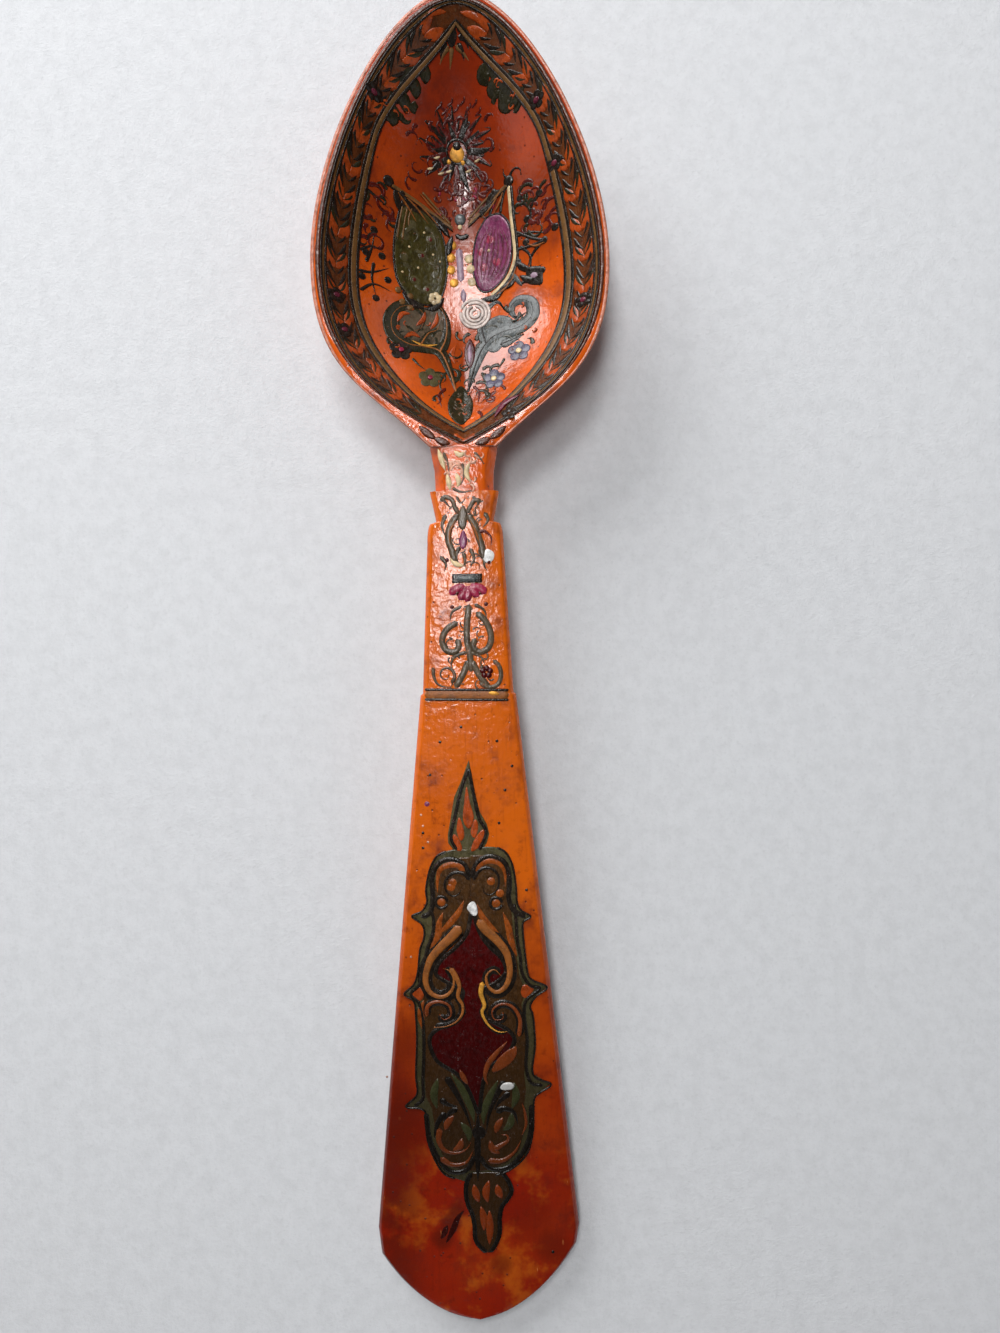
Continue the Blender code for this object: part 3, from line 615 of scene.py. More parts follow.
@dataclass(frozen=True)
class HandleShape(Surface):
    """Plan, upper face and underside of the handle."""

    root_y: float = 38.2
    joint_y: float = 31.0
    collar_y: float = 30.85
    waist_y: float = 26.3
    shank_y: float = 26.0
    blade_y: float = -2.0
    rest_y: float = -93.5
    end_y: float = -110.0
    collar_half: float = 5.6
    waist_half: float = 4.7
    shoulder_half: float = 5.6
    shoulder_length: float = 3.4
    shank_half: float = 6.25
    shank_end_half: float = 7.5
    blade_start_half: float = 7.9
    blade_end_half: float = 17.3
    notch: float = 0.3
    joint_height: float = 13.7
    root_height: float = 14.0
    rest_thickness: float = 4.2
    end_thickness: float = 3.0
    end_lift: float = 0.8
    arch: float = 0.5
    camber: float = 0.3
    under: float = 7.1
    end_slant: float = 0.04
    end_curve: Pairs = ((16.8, -97.4), (14.0, -102.2), (7.8, -109.4), (0.0, -109.4))
    end_steps: int = 40
    end_least_half: float = 0.5
    shoulder_steps: int = 8

    def plan(self) -> np.ndarray:
        """Places along the handle and the half width at each, from the collar to the end.

        Returns:
            Rows of a Y and a half width.
        """
        rows = [(self.collar_y, self.collar_half), (self.waist_y, self.waist_half)]
        for turn in np.radians(np.linspace(0.0, 90.0, self.shoulder_steps + 1)):
            half = self.shoulder_half + math.sin(turn) * (self.shank_half - self.shoulder_half)
            rows.append((self.shank_y - (1 - math.cos(turn)) * self.shoulder_length, half))
        rows.append((self.blade_y + self.notch, self.shank_end_half))
        rows.append((self.blade_y, self.blade_start_half))
        rows.append((self.rest_y, self.blade_end_half))
        end = bezier(*self.end_curve, self.end_steps)
        rows += [(y, max(x, self.end_least_half)) for x, y in end]
        return np.array(rows)

    def half_width(self, y: np.ndarray) -> np.ndarray:
        """Half of the handle's width."""
        plan = self.plan()[::-1]
        return np.interp(y, plan[:, 0], plan[:, 1])

    def top(self, y: np.ndarray) -> np.ndarray:
        """Height of the upper face at its middle.

        Args:
            y: places along.

        Returns:
            The heights.
        """
        y = np.asarray(y, dtype=float)
        neck = (y - self.joint_y) / (self.root_y - self.joint_y)
        end = (self.rest_y - y) / (self.rest_y - self.end_y)
        share = (self.joint_y - y) / (self.joint_y - self.rest_y)
        middle = self.joint_height + share * (self.rest_thickness - self.joint_height)
        middle = middle + self.arch * 4 * share * (1 - share)
        upper = self.joint_height + neck * (self.root_height - self.joint_height)
        lower = self.rest_thickness + end * (self.end_lift + self.end_thickness
                                             - self.rest_thickness)
        return np.where(y > self.joint_y, upper, np.where(y < self.rest_y, lower, middle))

    def bottom(self, y: np.ndarray) -> np.ndarray:
        """Height of the underside.

        Args:
            y: places along.

        Returns:
            The heights.
        """
        share = (self.joint_y - y) / (self.joint_y - self.rest_y)
        end = (self.rest_y - y) / (self.rest_y - self.end_y)
        return np.where(y < self.rest_y, self.end_lift * end, self.under * (1 - share))

    def height(self, x: np.ndarray, y: np.ndarray) -> np.ndarray:
        """Height of the upper face over the table."""
        return self.top(y) - self.camber * (x / self.half_width(y)) ** 2


@dataclass(frozen=True)
class PhotoView:
    """The photograph's camera: straight down, with pixels in a 1000 x 1333 frame."""

    focal: float = 1000.0
    frame_width: float = 1000.0
    frame_height: float = 1333.0
    above: float = 175.4
    centre_x: float = 5.3
    centre_y: float = 2.56
    turn: float = math.radians(1.0)
    sensor: float = 36.0
    first_height: float = 8.0
    rounds: int = 60

    def place(self, pixels: Pixels, surface: Surface) -> np.ndarray:
        """Where the rays through pixels meet a carved face.

        Args:
            pixels: columns and rows in the photograph.
            surface: the face.

        Returns:
            X and Y of each meeting point.
        """
        spot = np.array(pixels, dtype=float)
        z = np.full(len(spot), self.first_height)
        for _ in range(self.rounds):
            reach = (self.above - z) / self.focal
            right = (spot[:, 0] - self.frame_width / 2) * reach
            up = (self.frame_height / 2 - spot[:, 1]) * reach
            x = right * math.cos(self.turn) + up * math.sin(self.turn) + self.centre_x
            y = up * math.cos(self.turn) - right * math.sin(self.turn) + self.centre_y
            z = z + 0.5 * (surface.height(x, y) - z)
        return np.stack([x, y], axis=1)

    def set_camera(self) -> None:
        """Put the camera where the photograph was taken from."""
        lens = bpy.data.cameras.new("camera")
        lens.sensor_fit = "HORIZONTAL"
        lens.sensor_width = self.sensor
        lens.lens = self.sensor * self.focal / self.frame_width
        lens.clip_start = 0.001
        camera = bpy.data.objects.new("camera", lens)
        camera.location = (self.centre_x * MM, self.centre_y * MM, self.above * MM)
        camera.rotation_euler = (0.0, 0.0, -self.turn)
        bpy.context.scene.collection.objects.link(camera)
        bpy.context.scene.camera = camera


BOWL = BowlShape()
RIM = RimTop()
HANDLE = HandleShape()
VIEW = PhotoView()


# Bench work


class Bench:
    """Modelling steps, each as done by hand in Blender."""

    @staticmethod
    def clear_selection() -> None:
        """Deselect everything."""
        bpy.ops.object.select_all(action="DESELECT")

    @staticmethod
    def take(piece: bpy.types.Object) -> None:
        """Select one object alone.

        Args:
            piece: the object.
        """
        Bench.clear_selection()
        piece.select_set(True)
        bpy.context.view_layer.objects.active = piece

    @staticmethod
    def sheets(name: str, grids: Sequence[np.ndarray]) -> bpy.types.Object:
        """Grid primitives pushed into shape, all in one mesh.

        Args:
            name: the object's name.
            grids: for each grid its points in millimetres, rows by columns by three.

        Returns:
            The object, with the doubles along its seams merged.
        """
        Bench.clear_selection()
        points = []
        for k, grid in enumerate(grids):
            if k == 1:
                bpy.ops.object.mode_set(mode="EDIT")
            rows, columns = grid.shape[:2]
            bpy.ops.mesh.primitive_grid_add(x_subdivisions=columns - 1, y_subdivisions=rows - 1,
                                            size=MM)
            if k == 0:
                piece = bpy.context.object
            points.append(Bench.face_up(grid).reshape(-1, 3))
        if len(grids) > 1:
            bpy.ops.object.mode_set(mode="OBJECT")
        piece.name = name
        piece.data.name = name
        piece.data.vertices.foreach_set("co", (np.vstack(points) * MM).ravel())
        piece.data.update()
        Bench.in_edit(piece, Bench.merge)
        return piece

    @staticmethod
    def face_up(grid: np.ndarray) -> np.ndarray:
        """Turn a grid's columns round if its faces would look down.

        Args:
            grid: its points, rows by columns by three.

        Returns:
            The grid, turned or as it was.
        """
        across = grid[:-1, 1:] - grid[:-1, :-1]
        along = grid[1:, :-1] - grid[:-1, :-1]
        return grid if np.cross(across, along)[..., 2].sum() >= 0 else grid[:, ::-1]

    @staticmethod
    def in_edit(piece: bpy.types.Object, work: Callable[[], None]) -> None:
        """Do some work on all of a piece in edit mode.

        Args:
            piece: the object.
            work: the steps, as a function.
        """
        Bench.take(piece)
        bpy.ops.object.mode_set(mode="EDIT")
        bpy.ops.mesh.select_all(action="SELECT")
        work()
        bpy.ops.object.mode_set(mode="OBJECT")

    @staticmethod
    def merge() -> None:
        """Merge doubled points."""
        bpy.ops.mesh.remove_doubles(threshold=SEAM)

    @staticmethod
    def close_ends() -> None:
        """Merge doubled points, fill the open ends and turn the normals out."""
        Bench.merge()
        bpy.ops.mesh.select_all(action="DESELECT")
        bpy.ops.mesh.select_non_manifold()
        bpy.ops.mesh.edge_face_add()
        bpy.ops.mesh.select_all(action="SELECT")
        bpy.ops.mesh.normals_make_consistent(inside=False)

    @staticmethod
    def solid(name: str, rings: Sequence[np.ndarray]) -> bpy.types.Object:
        """A closed solid from rings of equally many points, with its ends filled.

        Args:
            name: the object's name.
            rings: the rings, end to end.

        Returns:
            The object.
        """
        closed = [np.vstack([ring, ring[:1]]) for ring in rings]
        piece = Bench.sheets(name, [np.array(closed)])
        Bench.in_edit(piece, Bench.close_ends)
        return piece

    @staticmethod
    def apply(piece: bpy.types.Object, kind: str, **settings) -> None:
        """Add a modifier and apply it.

        Args:
            piece: the object.
            kind: the modifier's type.
            settings: the modifier's properties.
        """
        Bench.take(piece)
        step = piece.modifiers.new(kind.lower(), kind)
        for key, value in settings.items():
            setattr(step, key, value)
        bpy.ops.object.modifier_apply(modifier=step.name)

    @staticmethod
    def combine(piece: bpy.types.Object, other: bpy.types.Object, operation: str) -> None:
        """Join or cut a piece with another one, which is used up."""
        Bench.apply(piece, "BOOLEAN", operation=operation, solver="EXACT", object=other)
        bpy.data.objects.remove(other, do_unlink=True)

    @staticmethod
    def shade_wood(piece: bpy.types.Object) -> None:
        """Shade a carved piece smooth but for its sharp edges."""
        Bench.take(piece)
        bpy.ops.object.shade_smooth_by_angle(angle=SHARP_ANGLE)

    @staticmethod
    def dress(piece: bpy.types.Object, finish: Finish, slot: str, *nodes: str) -> None:
        """Give a piece its finish, its body and the CAD nodes that it stands for.

        Args:
            piece: the object.
            finish: its finish.
            slot: the record's slot that the finish comes from; not used.
            nodes: CAD nodes that it stands for.
        """
        piece.data.materials.clear()
        piece.data.materials.append(finish.material())
        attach(piece, BODY)
        if nodes:
            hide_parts(*nodes)
        LOG.info("%s: %d faces, stands for %s", piece.name, len(piece.data.polygons),
                 ", ".join(nodes) or "no node")


def smooth_line(points: np.ndarray, step: float, closed: bool = False) -> np.ndarray:
    """A smooth line through points.

    Args:
        points: the points, one to a row.
        step: spacing of the points returned.
        closed: whether the line returns to its start.

    Returns:
        Evenly spaced points along the line.
    """
    points = np.asarray(points, dtype=float)
    if closed:
        padded = np.vstack([points[-1], points, points[0], points[1]])
    else:
        padded = np.vstack([2 * points[0] - points[1], points, 2 * points[-1] - points[-2]])
    t = np.linspace(0.0, 1.0, CURVE_STEPS, endpoint=False)[:, None]
    parts = []
    for a, b, c, d in zip(padded, padded[1:], padded[2:], padded[3:]):
        parts.append(0.5 * (2 * b + (c - a) * t + (2 * a - 5 * b + 4 * c - d) * t ** 2
                            + (3 * b - a - 3 * c + d) * t ** 3))
    line = np.vstack(parts + [points[:1] if closed else points[-1:]])
    lengths = np.concatenate([[0.0], np.cumsum(np.linalg.norm(np.diff(line, axis=0), axis=1))])
    count = max(6, int(round(lengths[-1] / step)))
    marks = np.linspace(0.0, lengths[-1], count + 1)
    return np.stack([np.interp(marks, lengths, line[:, k]) for k in range(2)], axis=1)


def spiral(centre: Sequence[float], start: float, end: float, turn_from: float,
           turn_to: float) -> np.ndarray:
    """A curl round a centre.

    Args:
        centre: its middle.
        start: distance from the middle at its first point.
        end: distance from the middle at its last point.
        turn_from: bearing of the first point in degrees, anticlockwise from +X.
        turn_to: bearing of the last point.

    Returns:
        Points along it.
    """
    turns = np.radians(np.linspace(turn_from, turn_to, SPIRAL_POINTS))
    reach = np.linspace(start, end, SPIRAL_POINTS)
    return np.array(centre) + reach[:, None] * np.stack([np.cos(turns), np.sin(turns)], axis=1)


@dataclass
class Painted:
    """One raised layer of paint laid on a carved face.

    Sizes are millimetres. A film of level 1 lies on the wood, and each further level is one layer
    higher. sink is how deep a film's edge goes into what it lies on, and fullness widens every stroke.
    """

    name: str
    finish: Finish
    surface: Surface
    level: float = 1.0
    layer: float = 0.07
    sink: float = 0.03
    fullness: float = 1.15
    grids: list[np.ndarray] = field(default_factory=list)

    def lay(self, plan: np.ndarray, crown: np.ndarray) -> None:
        """Add one grid, its plan given and its crown over this layer's level."""
        base = (self.level - 1.0) * self.layer - self.sink
        self.grids.append(self.surface.lifted(plan, base + crown))

    def stroke(self, line: np.ndarray, width: float, tip: Tip = Tip.ROUND,
               crown: float = 0.16) -> "Painted":
        """A brush stroke.

        Args:
            line: points of its middle, in the plan.
            width: its greatest width.
            tip: how it ends.
            crown: how high it stands.

        Returns:
            This layer.
        """
        width *= self.fullness
        path = smooth_line(line, np.clip(width * 0.5, *STROKE_STEPS))
        along = np.gradient(path, axis=0)
        along /= np.linalg.norm(along, axis=1)[:, None] + 1e-9
        side = np.stack([along[:, 1], -along[:, 0]], axis=1)
        share = np.linspace(0.0, 1.0, len(path))
        length = np.linalg.norm(np.diff(path, axis=0), axis=1).sum()
        from_start = np.clip(share * length / (width / 2), 0.0, 1.0)
        from_end = np.clip((1 - share) * length / (width / 2), 0.0, 1.0)
        round_start = np.sqrt(1 - (1 - from_start) ** 2)
        round_end = np.sqrt(1 - (1 - from_end) ** 2)
        full = {Tip.ROUND: round_start * round_end,
                Tip.POINTED: np.sin(math.pi * np.clip(share, 0.02, 0.98)) ** 0.7,
                Tip.TAIL: round_start * (1 - share) ** 0.75}[tip]
        full = np.maximum(full, 0.03)
        across = np.array([-1.0, -0.8, -0.4, 0.0, 0.4, 0.8, 1.0])
        plan = path[:, None] + side[:, None] * (across[:, None] * (full * width / 2)[:, None, None])
        swell = np.sqrt(np.clip(1 - across ** 2, 0.0, 1.0))
        self.lay(plan, crown * full[:, None] ** 0.5 * swell[None])
        return self

    def strokes(self, lines: Iterable[Pixels], width: float, tip: Tip = Tip.ROUND,
                crown: float = 0.16) -> "Painted":
        """Brush strokes along lines of pixels of the photograph.

        Args:
            lines: the middle of each stroke.
            width: its greatest width.
            tip: how it ends.
            crown: how high it stands.

        Returns:
            This layer.
        """
        for line in lines:
            self.stroke(VIEW.place(line, self.surface), width, tip, crown)
        return self

    def patch(self, outline: np.ndarray, crown: float = 0.16, edge: float = 0.45) -> "Painted":
        """A filled shape that can be seen whole from its middle.

        Args:
            outline: points round it, in the plan.
            crown: how high it stands.
            edge: width of its rounded edge.

        Returns:
            This layer.
        """
        ring = smooth_line(outline, OUTLINE_STEP, closed=True)
        middle = ring[:-1].mean(axis=0)
        reach = np.linalg.norm(ring - middle, axis=1)
        steps = max(4, int(reach.max() / RING_STEP))
        shares = np.concatenate([[0.0, 0.04, 0.1, 0.2], np.linspace(0.32, 1.0, steps)])
        plan = middle + (ring - middle)[None] * (1 - shares)[:, None, None]
        inward = np.clip(shares[:, None] * reach[None] / edge, 0.0, 1.0)
        self.lay(plan, crown * np.sqrt(1 - (1 - inward) ** 2))
        return self

    def patches(self, outlines: Iterable[Pixels], crown: float = 0.16,
                edge: float = 0.45) -> "Painted":
        """Filled shapes outlined by pixels of the photograph.

        Args:
            outlines: pixels round each shape.
            crown: how high it stands.
            edge: width of its rounded edge.

        Returns:
            This layer.
        """
        for outline in outlines:
            self.patch(VIEW.place(outline, self.surface), crown, edge)
        return self

    def dot(self, centre: Sequence[float], radius: float, crown: float = 0.2) -> "Painted":
        """A round blob of paint at a place in the plan.

        Args:
            centre: its middle.
            radius: its radius.
            crown: how high it stands.

        Returns:
            This layer.
        """
        turns = np.linspace(0.0, 2 * math.pi, 9)[:-1]
        outline = np.array(centre) + radius * np.stack([np.cos(turns), np.sin(turns)], axis=1)
        return self.patch(outline, crown, radius)

    def dots(self, pixels: Pixels, radius: float, crown: float = 0.2) -> "Painted":
        """Round blobs of paint at pixels of the photograph.

        Args:
            pixels: their middles.
            radius: their radius.
            crown: how high they stand.

        Returns:
            This layer.
        """
        for centre in VIEW.place(pixels, self.surface):
            self.dot(centre, radius, crown)
        return self

    def field_between(self, left: Pixels, right: Pixels, crown: float = 0.14) -> "Painted":
        """A filled shape between two edges that run down the photograph.

        Args:
            left: pixels of the left edge, from top to bottom.
            right: pixels of the right edge, from top to bottom.
            crown: how high it stands.

        Returns:
            This layer.
        """
        sides = [VIEW.place(side, self.surface) for side in (left, right)]
        top = min(side[0, 1] for side in sides)
        bottom = max(side[-1, 1] for side in sides)
        y = np.linspace(top, bottom, max(8, int((top - bottom) / FIELD_STEP)))
        low, high = (np.interp(y, side[::-1, 1], side[::-1, 0]) for side in sides)
        high = np.maximum(high, low + 0.02)
        columns = np.array([0.0, 0.01, 0.03, 0.07, 0.14, 0.24, 0.37, 0.5])
        columns = np.concatenate([columns, 1 - columns[-2::-1]])
        x = low[:, None] + (high - low)[:, None] * columns
        plan = np.stack([x, np.broadcast_to(y[:, None], x.shape)], axis=-1)
        inward = np.minimum(x - low[:, None], high[:, None] - x) / FIELD_EDGE
        inward = np.clip(inward, 0.0, 1.0)
        self.lay(plan, crown * np.sqrt(1 - (1 - inward) ** 2))
        return self

    def blossoms(self, pixels: Pixels, radius: float, petals: int = 5) -> "Painted":
        """Flowers of round petals at pixels of the photograph.

        Args:
            pixels: their middles.
            radius: their reach.
            petals: how many petals each has.

        Returns:
            This layer.
        """
        angles = 0.3 + 2 * math.pi * np.arange(petals) / petals
        for centre in VIEW.place(pixels, self.surface):
            for angle in angles:
                way = np.array([math.cos(angle), math.sin(angle)])
                self.dot(centre + 0.58 * radius * way, radius=0.45 * radius, crown=0.17)
        return self

    def tangle(self, box: Box, count: int, radius: float, width: float, seed: int) -> "Painted":
        """A patch of small curled strokes, set down by a seeded hand.

        Args:
            box: left, top, right and bottom of the patch, in pixels of the photograph.
            count: how many strokes.
            radius: mean radius of a curl.
            width: mean width of a stroke.
            seed: picks the places and turns.

        Returns:
            This layer.
        """
        hand = np.random.default_rng(seed)
        spots = hand.uniform(box[:2], box[2:], (count, 2))
        for centre in VIEW.place(tuple(map(tuple, spots)), self.surface):
            reach = radius * hand.uniform(0.6, 1.3)
            start = hand.uniform(0.0, 360.0)
            sweep = hand.uniform(140.0, 300.0) * hand.choice((-1.0, 1.0))
            line = spiral(centre, start=reach, end=0.45 * reach, turn_from=start, turn_to=start + sweep)
            self.stroke(line, width=width * hand.uniform(0.7, 1.2), tip=Tip.TAIL, crown=0.14)
        return self

    def loops(self, rings: Sequence[np.ndarray], crown: np.ndarray) -> "Painted":
        """A band through closed rings from its outer to its inner edge, with a crown for each.

        Args:
            rings: points of each ring.
            crown: its height at each ring.

        Returns:
            This layer.
        """
        plan = np.stack([np.vstack([ring, ring[:1]]) for ring in rings], axis=1)
        self.lay(plan, np.broadcast_to(crown, plan.shape[:2]))
        return self

    def build(self, slot: str, *nodes: str) -> bpy.types.Object:
        """Turn the layer into a closed mesh and dress it.

        Args:
            slot: the record's slot that its finish comes from.
            nodes: CAD nodes that it stands for.

        Returns:
            The piece.
        """
        piece = Bench.sheets(self.name, self.grids)
        Bench.apply(piece, "SOLIDIFY", thickness=FILM * MM, offset=-1.0)
        Bench.take(piece)
        bpy.ops.object.shade_smooth()
        Bench.dress(piece, self.finish, slot, *nodes)
        return piece


ON_AXIS = 1e-6


def mirrored(half: np.ndarray) -> np.ndarray:
    """A right half outline closed by its mirror image, clockwise from the tip.

    Args:
        half: the right half, from the tip down.

    Returns:
        The whole outline.
    """
    left = half[::-1] * np.array([-1.0, 1.0])
    keep = np.abs(left[:, 0]) > ON_AXIS
    return np.vstack([half, left[keep]])


# The wood


SOFTNESS = 0.3
SOFT_SHARE = 0.3
CHAMFER_SHARE = 0.4
TOP_POINTS = 16
UPPER_LEFT = 2


def section(half: float, top: float, bottom: float, chamfer: float, under_chamfer: float,
            camber: float) -> np.ndarray:
    """One cross-section of a carved length, its corners softened by varnish.

    Args:
        half: half its width.
        top: height of its upper face at the middle.
        bottom: height of its underside.
        chamfer: size of the upper corners' chamfer.
        under_chamfer: size of the lower corners' chamfer.
        camber: how much lower the upper face is at its edges.

    Returns:
        X and Z of the points, clockwise from the upper left corner.
    """
    drop = min(chamfer, CHAMFER_SHARE * half)
    rise = min(under_chamfer, CHAMFER_SHARE * half)
    corners = [(-half, bottom + rise), (-half, top - camber - drop), (-half + drop, None),
               (half - drop, None), (half, top - camber - drop), (half, bottom + rise),
               (half - rise, bottom), (-half + rise, bottom)]
    corners = [(x, top - camber * (x / half) ** 2 if z is None else z) for x, z in corners]
    points = []
    for k, corner in enumerate(corners):
        here = np.array(corner)
        before = np.array(corners[k - 1]) - here
        after = np.array(corners[(k + 1) % len(corners)]) - here
        reach = [min(SOFTNESS, SOFT_SHARE * np.linalg.norm(arm)) for arm in (before, after)]
        start = here + before / (np.linalg.norm(before) + 1e-9) * reach[0]
        end = here + after / (np.linalg.norm(after) + 1e-9) * reach[1]
        for t in (0.0, 0.33, 0.67, 1.0):
            points.append((1 - t) ** 2 * start + 2 * t * (1 - t) * here + t * t * end)
        if k == UPPER_LEFT:
            for x in np.linspace(end[0], half - drop - SOFTNESS, TOP_POINTS)[1:-1]:
                points.append(np.array([x, top - camber * (x / half) ** 2]))
    return np.array(points)


def bar(name: str, ends: Sequence[float], half: float, top: float, bottom: float,
        chamfer: float) -> bpy.types.Object:
    """A straight bar along Y between two ends, with chamfered corners."""
    line = section(half, top, bottom, chamfer, chamfer, 0.0)
    return Bench.solid(name, [np.insert(line, 1, y, axis=1) for y in ends])


@dataclass
class BowlWood:
    """The bowl with its neck and its tongue, carved from one length of wood.

    lip and flare shape the rim: each pair is a share of the way from the bowl's middle to the
    edge, and a drop or rise from the rim's height. Each neck section is its Y, width and underside.
    """

    shape: BowlShape = BOWL
    finish: Finish = Lacquer(
        "bowl_lacquer", colour=(0.57, 0.086, 0.003), far=(0.32, 0.028, 0.002), near_y=54.0,
        far_y=106.0, edge=(0.095, 0.008, 0.002),
        smudges=((-0.8, 90.0, 11.0, 0.50), (0.2, 82.0, 11.0, 0.60), (-14.0, 78.5, 8.0, 0.55),
                 (13.4, 79.0, 9.0, 0.65), (0.2, 53.0, 9.5, 0.65), (-8.2, 61.0, 8.0, 0.45),
                 (-0.3, 103.0, 7.0, 0.5)))
    outside_rings: int = 34
    outside_reach: float = 0.988
    lip: Pairs = ((1.0, 0.25), (0.998, 0.10), (0.990, 0.0))
    hollow_rings: int = 44
    hollow_reach: float = 0.994
    flare: Pairs = ((1.001, -0.12), (1.010, 0.0), (1.010, 14.0))
    neck_sections: tuple[Triple, ...] = ((31.15, 9.5, 7.1), (34.6, 9.7, 6.7), (38.2, 11.0, 6.1),
                                         (49.2, 11.0, 4.6))
    neck_chamfer: float = 1.5
    neck_camber: float = 0.3
    tongue_root_y: float = 34.6
    tongue_half: float = 2.5
    tongue_bottom: float = 8.8
    tongue_top: float = 11.4
    tongue_y: float = 17.0
    tongue_chamfer: float = 0.2

    def outside(self) -> bpy.types.Object:
        """The bowl's outer form, filled, with its rim softened.

        Returns:
            The object.
        """
        shape = self.shape
        outline = mirrored(shape.outer())
        rim = shape.rim_height(outline[:, 1])
        middle = np.array([0.0, shape.widest_y])
        rings = []
        for share in np.linspace(shape.foot_share, self.outside_reach, self.outside_rings):
            rise = (share - shape.foot_share) / (1 - shape.foot_share)
            plan = middle + (outline - middle) * share
            rings.append(np.column_stack([plan, rim * rise ** shape.outside_steepness]))
        for share, under in self.lip:
            rings.append(np.column_stack([middle + (outline - middle) * share, rim - under]))
        return Bench.solid("bowl_wood", rings)

    def hollow(self) -> bpy.types.Object:
        """The tool that hollows the bowl, flared a little at the rim.

        Returns:
            The object.
        """
        shape = self.shape
        outline = mirrored(shape.hollow())
        rim = shape.rim_height(outline[:, 1])
        middle = np.array([0.0, shape.widest_y])
        rings = []
        for share in np.linspace(0.0, self.hollow_reach, self.hollow_rings):
            plan = middle + (outline - middle) * share
            height = shape.floor + (rim - shape.floor) * share ** shape.steepness
            rings.append(np.column_stack([plan, height]))
        for share, over in self.flare:
            rings.append(np.column_stack([middle + (outline - middle) * share, rim + over]))
        return Bench.solid("hollow_tool", rings)

    def neck(self) -> bpy.types.Object:
        """The neck with its keel under the bowl.

        Returns:
            The object.
        """
        rings = []
        for y, width, bottom in self.neck_sections:
            top = min(float(HANDLE.top(y)), self.shape.root_rim_height)
            line = section(width / 2, top, bottom, self.neck_chamfer, self.neck_chamfer,
                           self.neck_camber)
            rings.append(np.insert(line, 1, y, axis=1))
        return Bench.solid("neck_wood", rings)

    def tongue(self) -> bpy.types.Object:
        """The tongue that is glued into the handle."""
        return bar("tongue_wood", (self.tongue_y, self.tongue_root_y), self.tongue_half,
                   self.tongue_top, self.tongue_bottom, self.tongue_chamfer)

    def build(self) -> None:
        """Join neck and tongue to the bowl, hollow it and lacquer it."""
        piece = self.outside()
        Bench.combine(piece, self.neck(), "UNION")
        Bench.combine(piece, self.tongue(), "UNION")
        Bench.combine(piece, self.hollow(), "DIFFERENCE")
        Bench.shade_wood(piece)
        Bench.dress(piece, self.finish, "red_lacquer", "bowl")


@dataclass
class HandleWood:
    """Collar, shank and blade, with the slot for the tongue."""

    shape: HandleShape = HANDLE
    finish: Finish = Lacquer(
        "handle_lacquer", colour=(0.58, 0.108, 0.003), far=(0.195, 0.008, 0.001), near_y=0.0,
        far_y=-106.0, edge=(0.090, 0.006, 0.001),
        smudges=((-13.5, -75.0, 8.0, 0.85), (12.6, -97.0, 3.5, 0.7), (3.7, -100.0, 2.2, 0.7),
                 (-12.0, -60.0, 5.0, 0.5), (9.0, -92.0, 5.0, 0.35), (-3.6, -90.3, 1.8, 0.9),
                 (-4.8, -92.6, 2.0, 0.9), (-6.2, -95.2, 2.2, 0.95)))
    chamfer: float = 0.7
    under_chamfer: float = 1.2
    slot_half: float = 2.8
    slot_bottom: float = 8.5
    slot_top: float = 11.7
    slot_y: float = 16.7
    slot_chamfer: float = 0.1
    tool_overrun: float = 2.0
    corner_run: float = 3.9
    joint_face_y: float = 31.13
    stations: int = 150

    def build(self) -> None:
        """Build the sections, cut the slot and lacquer the handle."""
        shape = self.shape
        plan = shape.plan()
        more = np.linspace(shape.collar_y, shape.end_y, self.stations)[1:-1]
        rings = []
        for y in np.unique(np.concatenate([plan[:, 0], more, [self.joint_face_y]]))[::-1]:
            half = float(shape.half_width(y))
            top = float(shape.top(y))
            line = section(half, top, float(shape.bottom(y)), self.chamfer, self.under_chamfer,
                           shape.camber)
            slant = shape.end_slant * float(np.clip((shape.rest_y - y) / self.corner_run, 0, 1))
            rings.append(np.insert(line, 1, y + slant * line[:, 0], axis=1))
        piece = Bench.solid("handle_wood", rings)
        tool = bar("slot_tool", (self.slot_y, shape.collar_y + self.tool_overrun), self.slot_half,
                   self.slot_top, self.slot_bottom, self.slot_chamfer)
        Bench.combine(piece, tool, "DIFFERENCE")
        Bench.shade_wood(piece)
        Bench.dress(piece, self.finish, "orange_lacquer", "handle")


# Paint in the bowl


